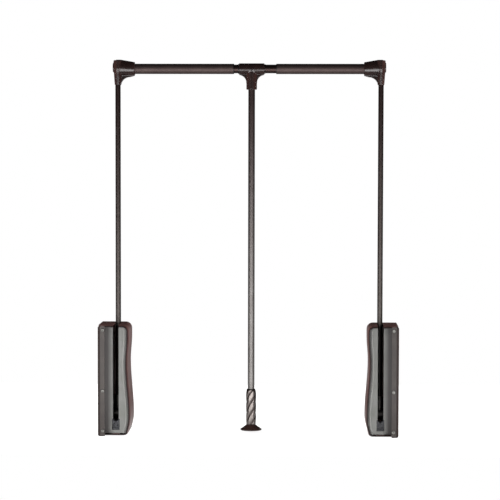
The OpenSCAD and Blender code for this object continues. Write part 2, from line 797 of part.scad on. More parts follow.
module elbow_screws() {
    sleeve_y = elbow_sleeve_d / 2 + 1.4;
    socket_y = elbow_socket_d / 2 + 0.8;
    color(STEEL) {
        translate([elbow_screw_x, sleeve_y, rail_height]) rotate([0, 0, 180])
            pan_screw(small_screw_d, small_head_d, small_head_h, sleeve_y - outer_bore_r + 1.5);
        translate([arm_x, socket_y, elbow_screw_z]) rotate([0, 0, 180])
            pan_screw(small_screw_d, small_head_d, small_head_h, socket_y - arm_r + arm_wall + 1.5);
    }
}

module outer_tube(end_x) {
    color(TUBE)
    difference() {
        rod_along_x(outer_r, end_x, tube_seat_x, 0, rail_height);
        rod_along_x(outer_bore_r, end_x - 1, tube_seat_x + 1, 0, rail_height);
        rod_along_y(small_screw_d / 2, 0, outer_tube_d, elbow_screw_x, rail_height);
    }
}

// Plastic liner in the outer tube's open end
module guide_bush(end_x) {
    color(PLASTIC)
    difference() {
        union() {
            rod_along_x(outer_bore_r, end_x, end_x + bush_l, 0, rail_height);
            rod_along_x(outer_r, end_x - flange_t, end_x, 0, rail_height);
        }
        rod_along_x(inner_r + run_gap, end_x - flange_t - 1, end_x + bush_l + 1, 0, rail_height);
    }
}

module inner_tube() {
    color(TUBE)
    difference() {
        rod_along_x(inner_r, inner_x0, inner_x1, 0, rail_height);
        rod_along_x(inner_r - inner_tube_wall, inner_x0 - 1, inner_x1 + 1, 0, rail_height);
    }
}

// Rings on the inner tube's ends that glide in the outer tubes
module tube_glides() {
    color(PLASTIC)
    for (x = [inner_x0, inner_x1 - glide_l])
        difference() {
            rod_along_x(outer_bore_r - run_gap, x, x + glide_l, 0, rail_height);
            rod_along_x(inner_r, x - 1, x + glide_l + 1, 0, rail_height);
        }
}

// Stop rings that keep the tee in its place along the rail
module tee_rings() {
    color(PLASTIC)
    for (x = [tee_x0 - side_gap - ring_t, tee_x1 + side_gap])
        difference() {
            rod_along_x(ring_d / 2, x, x + ring_t, 0, rail_height);
            rod_along_x(inner_r, x - 1, x + ring_t + 1, 0, rail_height);
        }
}

module tee() {
    socket_r = tee_socket_d / 2;
    web_z = rail_height - tee_d / 2;
    web_x = socket_r + tee_fillet;
    color(PLASTIC)
    difference() {
        union() {
            rod_along_x(tee_d / 2, tee_x0, tee_x1, 0, rail_height);
            rod_along_z(socket_r, rail_height - tee_socket_l, rail_height, rod_x, 0);
            difference() {
                block([rod_x - web_x, -tee_web / 2, web_z - tee_fillet],
                    [rod_x + web_x, tee_web / 2, web_z + 3]);
                for (s = [-1, 1])
                    rod_along_y(tee_fillet, -tee_web, tee_web, rod_x + s * web_x, web_z - tee_fillet);
            }
        }
        rod_along_x(inner_r + run_gap, tee_x0 - 1, tee_x1 + 1, 0, rail_height);
        rod_along_z(rod_r, rail_height - tee_socket_l - 1, rod_top, rod_x, 0);
        rod_along_y(small_screw_d / 2, 0, tee_socket_d, rod_x, rod_screw_z);
    }
}

module rod_screw() {
    y = tee_socket_d / 2 + 0.2;
    color(STEEL)
    translate([rod_x, y, rod_screw_z]) rotate([0, 0, 180])
        pan_screw(small_screw_d, small_head_d, small_head_h, y - rod_bore_r + 1.5);
}

module pull_rod() {
    color(TUBE)
    difference() {
        rod_along_z(rod_r, grip_top, rod_top, rod_x, 0);
        rod_along_z(rod_bore_r, grip_top - 1, rod_top + 1, rod_x, 0);
        rod_along_y(small_screw_d / 2, 0, rod_d, rod_x, rod_screw_z);
    }
}

// Share of the full section at height t above the grip's lower end, rounding off the shoulder
function grip_share(t) =
    t > grip_l - grip_shoulder ? sqrt(max(0, 1 - pow((t - grip_l + grip_shoulder) / grip_shoulder, 2))) : 1;

function grip_point(t, a) =
    let (
        turn = 360 * (t - grip_turn_z) / grip_pitch,
        full = grip_r + grip_lobe * cos(grip_lobes * (a - turn)),
        r = rod_r + 0.3 + (full - rod_r - 0.3) * grip_share(t)
    )
    [rod_x + r * cos(a), r * sin(a), grip_z + t];

// Solid twisted bar with lobes, a shoulder at the top and a spigot up into the rod
module grip() {
    n = grip_sides;
    low = grip_l - grip_shoulder;
    body = [for (i = [0:grip_rings]) low * i / grip_rings];
    dome = [for (i = [1:6]) low + grip_shoulder * sin(15 * i)];
    heights = concat(body, dome);
    rings = len(heights);
    points = [for (t = heights, j = [0:n - 1]) grip_point(t, 360 * j / n)];
    sides = [for (i = [0:rings - 2], j = [0:n - 1])
        let (a = i * n + j, b = i * n + (j + 1) % n)
        each [[a, a + n, b], [b, a + n, b + n]]];
    under = [for (j = [1:n - 2]) [0, j, j + 1]];
    over = [for (j = [1:n - 2]) let (o = (rings - 1) * n) [o, o + j + 1, o + j]];
    color(GRIP)
    difference() {
        union() {
            polyhedron(points = points, faces = concat(sides, under, over));
            rod_along_z(rod_bore_r, grip_top - 1, grip_top + grip_spigot_l, rod_x, 0);
        }
        rod_along_z(foot_screw_d / 2, grip_z - 1, grip_z + foot_screw_bite + 1.5, rod_x, 0);
    }
}

// Flared foot below the grip, hollow underneath. Its side runs out a little more than in
// proportion to the distance below its top.
module rod_foot() {
    neck = grip_r;
    flare = foot_h - foot_rim;
    run = foot_d / 2 - neck;
    under_z = foot_h - foot_web;
    color(PLASTIC)
    translate([rod_x, 0, foot_z])
        difference() {
            rotate_extrude()
                polygon(concat(
                    [[0, foot_h], [neck, foot_h]],
                    [for (i = [1:7]) let (d = i / 8)
                        [neck + run * pow(d, 1.25), foot_h - flare * d]],
                    [[foot_d / 2, foot_rim], [foot_d / 2, 0.6], [foot_d / 2 - 0.6, 0],
                        [foot_d / 2 - foot_wall - 2, 0], [neck - 1, under_z], [0, under_z]]
                ));
            translate([0, 0, -1]) cylinder(r = foot_screw_d / 2 + 0.25, h = foot_h + 2);
        }
}

module foot_screw() {
    color(STEEL)
    translate([rod_x, 0, grip_z - foot_web]) rotate([90, 0, 0])
        pan_screw(foot_screw_d, 1.75 * foot_screw_d, 2, foot_web + foot_screw_bite);
}

left() base_bracket();  // left_base_bracket
left() shell();  // left_shell
left() fascia();  // left_fascia
left() fascia_screws();  // left_fascia_screws
left() rear_screws();  // left_rear_screws
left() arm_stop();  // left_arm_stop
left() pivot_axle();  // left_pivot_axle
left() axle_clips();  // left_axle_clips
left() spring_guide();  // left_spring_guide
left() guide_screws();  // left_guide_screws
left() spring();  // left_spring
left() plunger();  // left_plunger
left() arm_carrier();  // left_arm_carrier
left() carrier_bushes();  // left_carrier_bushes
left() crank_roller();  // left_crank_roller
left() roller_pin();  // left_roller_pin
left() arm_pin();  // left_arm_pin
left() arm_tube();  // left_arm_tube
left() elbow();  // left_elbow
left() elbow_screws();  // left_elbow_screws
left() outer_tube(left_tube_end);  // left_outer_tube
left() guide_bush(left_tube_end);  // left_guide_bush

right() base_bracket();  // right_base_bracket
right() shell();  // right_shell
right() fascia();  // right_fascia
right() fascia_screws();  // right_fascia_screws
right() rear_screws();  // right_rear_screws
right() arm_stop();  // right_arm_stop
right() pivot_axle();  // right_pivot_axle
right() axle_clips();  // right_axle_clips
right() spring_guide();  // right_spring_guide
right() guide_screws();  // right_guide_screws
right() spring();  // right_spring
right() plunger();  // right_plunger
right() arm_carrier();  // right_arm_carrier
right() carrier_bushes();  // right_carrier_bushes
right() crank_roller();  // right_crank_roller
right() roller_pin();  // right_roller_pin
right() arm_pin();  // right_arm_pin
right() arm_tube();  // right_arm_tube
right() elbow();  // right_elbow
right() elbow_screws();  // right_elbow_screws
right() outer_tube(right_tube_end);  // right_outer_tube
right() guide_bush(right_tube_end);  // right_guide_bush

middle() inner_tube();
middle() tube_glides();
middle() tee_rings();
middle() tee();
middle() rod_screw();
middle() pull_rod();
middle() grip();
middle() rod_foot();
middle() foot_screw();
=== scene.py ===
# %% [markdown]
# # A swing-down clothes rail
#
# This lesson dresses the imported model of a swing-down wardrobe lift. Two sprung casings stand on
# the cabinet's side walls, each carries an arm, and the arms hold a telescopic rail. A pull rod
# with a twisted grip hangs from the rail's tee.
#
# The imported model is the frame: it says where everything is and what moves with what. Each part
# that shows is made again here with finer surfaces, in the same place, and rides on the same body.

import json
import math

import bmesh
import bpy
import numpy as np
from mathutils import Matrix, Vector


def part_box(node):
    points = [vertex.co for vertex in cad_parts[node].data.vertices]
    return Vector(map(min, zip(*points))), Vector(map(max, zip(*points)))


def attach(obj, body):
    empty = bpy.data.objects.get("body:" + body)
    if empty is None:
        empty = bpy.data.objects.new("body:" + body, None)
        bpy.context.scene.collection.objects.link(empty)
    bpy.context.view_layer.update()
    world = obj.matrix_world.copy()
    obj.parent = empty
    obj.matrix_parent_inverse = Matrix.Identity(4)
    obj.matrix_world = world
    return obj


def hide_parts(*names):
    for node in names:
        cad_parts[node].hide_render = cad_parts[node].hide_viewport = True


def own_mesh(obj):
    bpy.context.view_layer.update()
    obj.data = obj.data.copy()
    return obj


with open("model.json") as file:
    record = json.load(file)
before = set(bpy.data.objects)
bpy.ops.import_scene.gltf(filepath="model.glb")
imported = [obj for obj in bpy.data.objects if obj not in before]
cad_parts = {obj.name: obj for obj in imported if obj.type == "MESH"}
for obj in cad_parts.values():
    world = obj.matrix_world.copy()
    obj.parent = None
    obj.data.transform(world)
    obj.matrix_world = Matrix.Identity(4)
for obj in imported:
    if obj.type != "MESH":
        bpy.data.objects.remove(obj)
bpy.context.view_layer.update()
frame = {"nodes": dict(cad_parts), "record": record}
BODY_OF = {node: body for body, nodes in frame["record"]["behaviour"]["bodies"].items() for node in nodes}

# %% [markdown]
# ## Camera
#
# The casings' inner walls and the lean of the two arms show how far away the photograph was
# taken: about 4.2 m, from a little right of the middle and three quarters of the way up. A long
# lens fits it, so parallel tubes stay almost parallel. The camera was held a tenth of a degree
# askew, which both arms show.

# %% Camera
def in_scene(name, data):
    """A new object in the scene that holds a mesh, a lamp or a camera."""
    body = bpy.data.objects.new(name, data)
    bpy.context.scene.collection.objects.link(body)
    return body


lens = bpy.data.cameras.new("camera")
lens.sensor_width = 36
lens.lens = 134.06
camera = in_scene("camera", lens)
camera.location = (0.1142, -4.178, 0.6291)
camera.rotation_euler = (math.radians(90 - 2.921), math.radians(-0.11), math.radians(1.534))
bpy.context.scene.camera = camera
print("camera at", tuple(round(c, 3) for c in camera.location))

# %% [markdown]
# ## Helpers for shapes
#
# Most new surfaces are grids of points. Two numbers, u and v, say where a point lies on one, and
# numpy works out all the points at once. Sizes are in millimetres, and y counts from the arms'
# plane. `new_mesh` turns the points into metres and moves them by 15 mm at the very end, because
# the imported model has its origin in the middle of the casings' depth.

# %% Faces of a grid
def skin(points, around_u=False, around_v=False):
    """Four-sided faces between neighbours of a grid: (i, j), (i+1, j), (i+1, j+1), (i, j+1)."""
    nu, nv = points.shape[:2]
    i, j = np.meshgrid(
        np.arange(nu if around_u else nu - 1), np.arange(nv if around_v else nv - 1), indexing="ij"
    )
    i1, j1 = (i + 1) % nu, (j + 1) % nv
    corners = np.stack([i * nv + j, i1 * nv + j, i1 * nv + j1, i * nv + j1], -1)
    return corners.reshape(-1, 4)


def walled(outer, inner):
    """A solid wall between two grids of the same size: both skins and the four rims that join them."""
    nu, nv = outer.shape[:2]
    index = np.arange(nu * nv).reshape(nu, nv)
    rim = np.concatenate([index[:, 0], index[-1, 1:], index[-2::-1, -1], index[0, -2:0:-1]])
    across = np.stack([rim, np.roll(rim, -1), np.roll(rim, -1) + nu * nv, rim + nu * nv], -1)
    faces = np.concatenate([skin(outer), skin(inner)[:, ::-1] + nu * nv, across[:, ::-1]])
    return np.concatenate([outer.reshape(-1, 3), inner.reshape(-1, 3)]), faces


print("a grid of 3 by 4 points has", len(skin(np.zeros((3, 4, 3)))), "faces")


# %% Outlines with rounded corners
def rounded(corners, radii, steps=4):
    """Closed outline with soft corners. Each corner C gives way to the curve
    (1-t)^2 A + 2t(1-t) C + t^2 B, where A and B lie one radius away from C on its two sides."""
    c = np.asarray(corners, float)
    r = np.broadcast_to(np.asarray(radii, float), len(c))[:, None]
    to_last, to_next = np.roll(c, 1, 0) - c, np.roll(c, -1, 0) - c
    a = c + to_last / np.linalg.norm(to_last, axis=1)[:, None] * r
    b = c + to_next / np.linalg.norm(to_next, axis=1)[:, None] * r
    t = np.linspace(0, 1, steps + 1)[None, :, None]
    return ((1 - t) ** 2 * a[:, None] + 2 * t * (1 - t) * c[:, None] + t**2 * b[:, None]).reshape(-1, 2)


def turned(profile, axis, centre, sides=96):
    """A profile of (place along the axis, radius) carried round an axis of the frame:
    point = centre + place * axis + radius * (cos a * e1 + sin a * e2). It closes on itself."""
    a = np.linspace(0, 2 * np.pi, sides, endpoint=False)[None, :, None]
    e = np.roll(np.eye(3), -axis, axis=0)
    place, radius = profile[:, 0, None, None], profile[:, 1, None, None]
    points = np.asarray(centre, float) + place * e[0] + radius * (np.cos(a) * e[1] + np.sin(a) * e[2])
    return points.reshape(-1, 3), skin(points, True, True)


print("a soft square has", len(rounded([(0, 0), (9, 0), (9, 9), (0, 9)], 2)), "points")

# %% [markdown]
# ## Helpers for moulded shapes
#
# A moulded plastic corner has no plain outline: sleeve, socket and web flow into each other. It is
# easiest to say how far any point in space is from the skin, with a minus sign inside. Two such
# distances can be joined with a fillet or cut with a soft rim. The skin is then found where the
# distance is nought, first roughly on a grid of cells, and then exactly by a few pulls.

# %% Distances that join with a fillet
def meet(a, b, r):
    """The part inside both a and b, its edge rounded to radius r: in the corner region the
    distance is the length of (a + r, b + r) less r, and elsewhere it is the larger of a and b."""
    return np.minimum(np.maximum(a, b), -r) + np.hypot(np.maximum(a + r, 0), np.maximum(b + r, 0))


def join(a, b, r):
    """The part inside a or b, with a fillet of radius r where they touch."""
    return -meet(-a, -b, r)


def bar(p, a, b, ra, rb, edge):
    """Distance to a round bar from a to b, of radius ra at a and rb at b, with rims of radius edge."""
    a, b = np.asarray(a, float), np.asarray(b, float)
    length = np.linalg.norm(b - a)
    s = (p - a) @ ((b - a) / length)
    radial = np.linalg.norm(p - a - s[..., None] * (b - a) / length, axis=-1)
    return meet(radial - np.interp(s, [0, length], [ra, rb]), np.abs(s - length / 2) - length / 2, edge)


def box(p, low, high, edge):
    """Distance to a box with edges of radius edge."""
    low, high = np.asarray(low, float), np.asarray(high, float)
    q = np.abs(p - (low + high) / 2) - (high - low) / 2 + edge
    return np.linalg.norm(np.maximum(q, 0), axis=-1) + np.minimum(q.max(-1), 0) - edge


print("a sharp corner stands", round(float(meet(0.0, 0.0, 1.0)), 3), "mm proud of an edge rounded by 1 mm")


# %% The skin of a moulded shape
def moulded(field, low, high, step):
    """Finds where field(p) = 0. A cell of the grid whose corners are partly inside gets one point,
    and each grid line that crosses the skin gets one face, between the four cells around it. The
    points are then evened out and pulled to the skin: p moves by -field * slope / |slope|^2."""
    axes = [np.arange(a, b + step, step) for a, b in zip(low, high)]
    inside = field(np.stack(np.meshgrid(*axes, indexing="ij"), -1)) < 0
    n = np.array(inside.shape) - 1
    count = sum(
        inside[i : i + n[0], j : j + n[1], k : k + n[2]].astype(np.int8)
        for i in (0, 1) for j in (0, 1) for k in (0, 1)
    )
    mixed = (count > 0) & (count < 8)
    number = np.full(mixed.shape, -1)
    number[mixed] = np.arange(mixed.sum())
    points = np.asarray(low, float) + (np.argwhere(mixed) + 0.5) * step
    faces = []
    for axis in range(3):
        u, v = np.roll(np.eye(3, dtype=int), -axis, axis=0)[1:]
        first = np.take(inside, np.arange(n[axis]), axis)
        second = np.take(inside, np.arange(1, n[axis] + 1), axis)
        at = np.argwhere(first != second)
        outward = first[tuple(at.T)]
        ring = np.stack([at - u - v, at - v, at, at - u], 1)
        quads = number[ring[..., 0], ring[..., 1], ring[..., 2]]
        quads[~outward] = quads[~outward][:, ::-1]
        faces.append(quads)
    faces = np.concatenate(faces)
    ends = faces[:, [0, 1, 1, 2, 2, 3, 3, 0]].reshape(-1, 2)
    degree = np.bincount(ends[:, 0], minlength=len(points))[:, None]
    for turn in range(9):
        if turn < 6:
            mean = np.zeros_like(points)
            np.add.at(mean, ends[:, 0], points[ends[:, 1]])
            points += 0.6 * (mean / degree - points)
        h = step / 20
        slope = np.stack([(field(points + h * e) - field(points - h * e)) / (2 * h) for e in np.eye(3)], -1)
        pull = field(points)[:, None] * slope / np.maximum((slope**2).sum(-1, keepdims=True), 0.2)
        points -= np.clip(pull, -step, step)
    return points, faces


ball = moulded(lambda p: np.linalg.norm(p, axis=-1) - 5, (-6, -6, -6), (6, 6, 6), 1.0)
print("a ball of 5 mm radius has", len(ball[0]), "points when its cells are 1 mm wide")

# %% [markdown]
# ## Helpers for pieces
#
# `new_mesh` makes a mesh, closes its seams and turns all its faces outwards. `dress` marks the
# sharp edges, gives the finish, puts the piece on its nodes' body and hides those nodes. Most
# pieces come in pairs, so `on_both_sides` makes the mirror image as well. A shape with holes and
# bosses is put together and cut with `combine`.

# %% A mesh from points
ARM_PLANE = np.array([0.0, 15.0, 0.0])


def close_seams(mesh, near, thin=None):
    """Merges points nearer than a distance in metres, drops faces thinner than another distance,
    and turns all faces outwards."""
    work = bmesh.new()
    work.from_mesh(mesh)
    bmesh.ops.remove_doubles(work, verts=work.verts, dist=near)
    if thin:
        bmesh.ops.dissolve_degenerate(work, dist=thin, edges=work.edges)
    bmesh.ops.recalc_face_normals(work, faces=work.faces)
    work.to_mesh(mesh)
    work.free()


def new_mesh(name, points, faces):
    """A mesh in metres from points in millimetres: metres = (millimetres + arms' plane) / 1000."""
    mesh = bpy.data.meshes.new(name)
    points = (np.asarray(points, float) + ARM_PLANE) * 0.001
    mesh.from_pydata(points.tolist(), [], np.asarray(faces).tolist())
    close_seams(mesh, 2e-6, 1e-7)
    return mesh


print("the arms' plane lies at y =", ARM_PLANE[1], "mm of the packed model")


def make_piece(name, nodes, points, faces, finish, sharp=40):
    """One finished piece that stands for the named nodes and rides on their body."""
    return dress(in_scene(name, new_mesh(name, points, faces)), nodes, finish, sharp)


def dress(piece, nodes, finish, sharp=40):
    """Shades a piece smooth between edges sharper than an angle, gives it its finish and material
    slot, and ties it to its nodes and their body."""
    piece.data.shade_smooth()
    piece.data.set_sharp_from_angle(angle=math.radians(sharp))
    piece.data.materials.clear()
    piece.data.materials.append(FINISH[finish])
    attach(piece, BODY_OF[nodes[0]])
    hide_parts(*nodes)
    print(piece.name, len(piece.data.polygons), "faces for", ", ".join(nodes))
    return piece


# %% Smooth light, and a piece on both sides
BOTH = (("right", 1), ("left", -1))


def points_of(piece):
    """The points of a finished piece, in millimetres from the arms' plane."""
    place = np.empty(len(piece.data.vertices) * 3)
    piece.data.vertices.foreach_get("co", place)
    return place.reshape(-1, 3) * 1000 - ARM_PLANE


def smooth_light(piece, field, mirror=1):
    """Shades a moulded piece by the slope of its distance, normal = slope / |slope|, so that the
    light on it runs straight. With mirror -1, x is turned over before and after."""
    turn = np.array([mirror, 1, 1])
    place = points_of(piece) * turn
    slope = np.stack([field(place + 0.03 * e) - field(place - 0.03 * e) for e in np.eye(3)], -1)
    slope /= np.maximum(np.linalg.norm(slope, axis=1), 1e-9)[:, None]
    piece.data.normals_split_custom_set_from_vertices((slope * turn).tolist())


def on_both_sides(stem, node, points, faces, finish, sharp=40, field=None):
    """The right-hand piece, and the left-hand one, which is its mirror image: x becomes -x."""
    for side, sign in BOTH:
        piece = make_piece(f"{side}_{stem}", [f"{side}_{node}"], points * (sign, 1, 1), faces, finish, sharp)
        if field:
            smooth_light(piece, field, sign)


print("mirror signs:", dict(BOTH))


# %% Reading sizes from the frame
def node_box(node):
    """Lowest and highest corner of a node, in millimetres from the arms' plane."""
    low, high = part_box(node)
    return np.array(low) * 1000 - ARM_PLANE, np.array(high) * 1000 - ARM_PLANE


def moulded_in(node, field, step, room=1.5):
    """The skin of a distance, looked for in a node's box and a little room around it."""
    low, high = node_box(node)
    return moulded(field, low - room, high + room, step)


low, high = node_box("right_arm_tube")
print("the right arm is", round(high[0] - low[0], 2), "mm thick and", round(high[2] - low[2], 1), "mm long")


# %% Cutting and joining
def several(*parts):
    """Several closed shapes as one list of points and faces."""
    sizes = np.cumsum([0] + [len(p) for p, _ in parts])
    faces = np.concatenate([f + n for (_, f), n in zip(parts, sizes)])
    return np.concatenate([p for p, _ in parts]), faces


def rough_body(*shapes):
    """A bare body of one or more shapes, to be cut or joined."""
    return in_scene("tool", new_mesh("tool", *several(*shapes)))


def combine(body, how, *shapes):
    """Joins (UNION) or cuts (DIFFERENCE) body with the shapes and keeps the result as its mesh."""
    other = rough_body(*shapes)
    change = body.modifiers.new("combine", "BOOLEAN")
    change.operation, change.object, change.solver = how, other, "EXACT"
    result = bpy.data.meshes.new_from_object(body.evaluated_get(bpy.context.evaluated_depsgraph_get()))
    body.modifiers.clear()
    body.data = result
    close_seams(result, 1e-6)
    bpy.data.objects.remove(other)


def brick(low, high):
    """The six faces of a box between two corners."""
    low, high = np.asarray(low, float), np.asarray(high, float)
    outer = np.array([[[low[0], y, z] for z in (low[2], high[2])] for y in (low[1], high[1])])
    return walled(outer, outer + np.array([high[0] - low[0], 0, 0]))


def pin(axis, a, b, radius, centre, sides=48):
    """A plain round bar from place a to place b along an axis, through centre."""
    return turned(np.array([[a, 0], [a, radius], [b, radius], [b, 0]], float), axis, centre, sides)


print("a pin has", len(pin(2, 0, 1, 1, (0, 0, 0))[1]), "faces before its poles are closed")

# %% [markdown]
# ## Sizes that several pieces share
#
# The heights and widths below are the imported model's own, so each piece lands where its node is.
# `FACE_X` is the wall's face, `LEG_X` the edge of the bracket's strip, `SCREW_X` the line of its
# screws, and `PLATE_X` the wall's side of the front plate. `SWING` is the arms' turn in degrees.

# %% Shared sizes in millimetres
RAIL_Z = 822.0
ARM_X = node_box("right_arm_tube")[0][0] + 6.0
FACE_X = node_box("right_base_bracket")[1][0]
FRONT_Y, BACK_Y = -65.0, 35.0
CASING_H = 246.5
SHELL_Z = 2.7
PIVOT_Z, SWING = 45.0, 95
LEG_X = FACE_X - 15.7
SCREW_X = FACE_X - 11.5
PLATE_X = FACE_X - 5.1
SHEET, BEND_R = 2.0, 5.0
STOP_Z, STOP_TOP, STOP_HALF = 14.3, 39.0, 8.5
SLOT_HALF = 6.7
ROD_X = 5.4
SHOULDER_W, WAIST_W, BELLY_W, FOOT_W = 25.5, 22.5, 29.5, 24.0
SHOULDER_Z, WAIST_Z, BELLY_Z = 222.0, 165.0, 40.0
TOP_R, FOOT_R = 11, 7
print("arms at x =", ARM_X, "faces at x =", FACE_X)

# %% [markdown]
# ## Helpers for finishes
#
# A finish is a small tree of shader nodes. One function adds a node with its settings and links,
# and one turns a colour written as a web colour into the linear numbers that light is worked
# out with. Three more make what the finishes share: `blotches` gives a tint that drifts, `toward`
# a change of colour along an axis, and `shader` the surface with its gloss and its relief.

# %% Nodes and colours
def linear(web):
    """Web colour to linear light: c / 12.92 below 0.04045, and ((c + 0.055) / 1.055)^2.4 above."""
    c = np.array([int(web[i : i + 2], 16) for i in (1, 3, 5)]) / 255
    return (*np.where(c <= 0.04045, c / 12.92, ((c + 0.055) / 1.055) ** 2.4).tolist(), 1)


def add(tree, kind, sockets=None, **settings):
    """Adds one node. A socket is set to a value, or linked where the value is another's output."""
    node = tree.nodes.new("ShaderNode" + kind)
    for key, value in settings.items():
        setattr(node, key, value)
    for key, value in (sockets or {}).items():
        if isinstance(value, bpy.types.NodeSocket):
            tree.links.new(value, node.inputs[key])
        else:
            node.inputs[key].default_value = value
    return node


def fresh(name):
    """An empty material, its tree of nodes, and the place on the piece in metres."""
    material = bpy.data.materials.new(name)
    material.use_nodes = True
    tree = material.node_tree
    tree.nodes.clear()
    return material, tree, add(tree, "TexCoord").outputs["Object"]


def per_mm(size):
    """A texture's scale on metres for a pattern of that size in millimetres."""
    return 1000 / size


print("mid grey #808080 is", round(linear("#808080")[0], 3), "in linear light")


# %% What the finishes share
def blotches(tree, place, size, dark, light, detail=3.0):
    """Two shades that drift into each other over patches of about the size given."""
    noise = add(tree, "TexNoise", {"Vector": place, "Scale": per_mm(size), "Detail": detail})
    ramp = add(tree, "ValToRGB", {"Fac": noise.outputs["Fac"]})
    ramp.color_ramp.elements[0].position, ramp.color_ramp.elements[1].position = 0.35, 0.65
    ramp.color_ramp.elements[0].color, ramp.color_ramp.elements[1].color = linear(dark), linear(light)
    return ramp.outputs["Color"]


def toward(tree, colour, web, place, axis, start, end, about_middle=False):
    """Turns a colour to the web colour as the place along an axis goes from start to end, in
    metres. About the middle, the two sides count alike: the place is taken without its sign."""
    along = add(tree, "SeparateXYZ", {0: place}).outputs[axis]
    if about_middle:
        along = add(tree, "Math", {0: along}, operation="ABSOLUTE").outputs[0]
    share = add(tree, "MapRange", {"Value": along, "From Min": start, "From Max": end}).outputs["Result"]
    return add(tree, "MixRGB", {"Fac": share, "Color1": colour, "Color2": linear(web)}).outputs[0]


def shader(tree, colour, gloss=None, low=0.0, high=1.0, bumps=(), **numbers):
    """The Principled surface and the output. The pattern gloss spreads the roughness between low
    and high. Each bump is a height pattern and its full height in millimetres, and tilts the
    normal of the one before. Plain numbers are set on the surface's own sockets."""
    sockets = {"Base Color": colour}
    sockets.update({key.replace("_", " "): value for key, value in numbers.items()})
    if gloss is not None:
        spread = add(tree, "MapRange", {"Value": gloss, "To Min": low, "To Max": high})
        sockets["Roughness"] = spread.outputs["Result"]
    for height, depth in bumps:
        bump = {"Height": height, "Distance": depth / 1000, "Strength": 1.0}
        if "Normal" in sockets:
            bump["Normal"] = sockets["Normal"]
        sockets["Normal"] = add(tree, "Bump", bump).outputs["Normal"]
    body = add(tree, "BsdfPrincipled", sockets)
    add(tree, "OutputMaterial", {"Surface": body.outputs[0]})


FINISH = {}
print("a grain of 2 mm has the scale", per_mm(2))

# %% [markdown]
# ### Lacquered steel tube
#
# The tubes are drawn steel under a thin bronze lacquer, sprayed and stoved. The metal under the
# lacquer gives a soft bright band along the tube with dark edges. The lacquer itself has a faint
# orange skin of small waves, and its tint drifts a little from patch to patch. On the arms and the
# rod the colour is painted darker toward the rail, as painted shade, and the arms' lower ends are
# painted near black inside the casings, also as painted shade.

# %% Lacquered steel tube
def lacquered_tube(name, dark, light, roughness, top=None, shade_below=None):
    """Lacquered tube. With a colour for top, painted shade darkens the tube to it from z = 0.25 m
    to 0.75 m. Below the height shade_below, in metres, the tube is painted near black as shade."""
    material, tree, place = fresh(name)
    colour = blotches(tree, place, 38, dark, light)
    # painted shade: the tube is painted darker toward its top, near the rail
    if top:
        colour = toward(tree, colour, top, place, "Z", 0.25, 0.75)
    # painted shade: inside the casing the arm is painted near black
    if shade_below:
        colour = toward(tree, colour, "#120c0b", place, "Z", shade_below, shade_below - 0.004)
    waves = add(tree, "TexNoise", {"Vector": place, "Scale": per_mm(2.5), "Detail": 1.0})
    flow = add(tree, "TexNoise", {"Vector": place, "Scale": per_mm(14), "Detail": 2.0})
    shader(
        tree, colour, flow.outputs["Fac"], roughness - 0.03, roughness + 0.03,
        [(waves.outputs["Fac"], 0.0015)], Metallic=0.92, Coat_Weight=0.1, Coat_Roughness=0.35,
    )
    return material


FINISH["rail"] = lacquered_tube("lacquered_steel_tube_bronze", "#504342", "#584b49", 0.64)
FINISH["inner rail"] = lacquered_tube("lacquered_steel_tube_dark_bronze", "#382a28", "#403230", 0.4)
# painted shade: the arm darkens toward the rail and is near black inside the casing
FINISH["arm"] = lacquered_tube(
    "lacquered_steel_tube_grey_bronze", "#4b4643", "#534e4b", 0.58, "#302523", CASING_H / 1000
)
# painted shade: the rod darkens toward the rail
FINISH["rod"] = lacquered_tube("lacquered_steel_tube_rod_bronze", "#6d6967", "#757270", 0.54, "#403433")
print("tube finishes made")

# %% [markdown]
# ### Moulded plastic, dark brown
#
# Elbows and tee are moulded ABS, coloured right through, from a polished mould. That gives a deep
# glossy brown with narrow highlights. Flow in the mould leaves slow streaks in the gloss, and
# handling leaves the finest scuffs. The rod's foot comes from a duller mould, and the rail's
# liners, rings and glides are black acetal, which has a waxy, softer shine.

# %% Polished moulded plastic
def polished_plastic(name, dark, light, roughness):
    """Moulded plastic whose gloss drifts in streaks of 20 mm, with scuffs of half a millimetre."""
    material, tree, place = fresh(name)
    colour = blotches(tree, place, 22, dark, light)
    flow = add(tree, "TexNoise", {"Vector": place, "Scale": per_mm(20), "Detail": 2.0, "Distortion": 0.6})
    fine = add(tree, "TexNoise", {"Vector": place, "Scale": per_mm(0.5), "Detail": 2.0})
    shader(
        tree, colour, flow.outputs["Fac"], roughness - 0.015, roughness + 0.02,
        [(fine.outputs["Fac"], 0.0001)], IOR=1.53,
    )
    return material


FINISH["moulding"] = polished_plastic("moulded_abs_dark_brown_polished", "#251716", "#2e1e1b", 0.25)
FINISH["foot"] = polished_plastic("moulded_abs_dark_brown_satin", "#2c1b18", "#3a2622", 0.42)
FINISH["acetal"] = polished_plastic("moulded_acetal_black", "#141212", "#1f1c1b", 0.34)
print("moulded plastic finishes made")
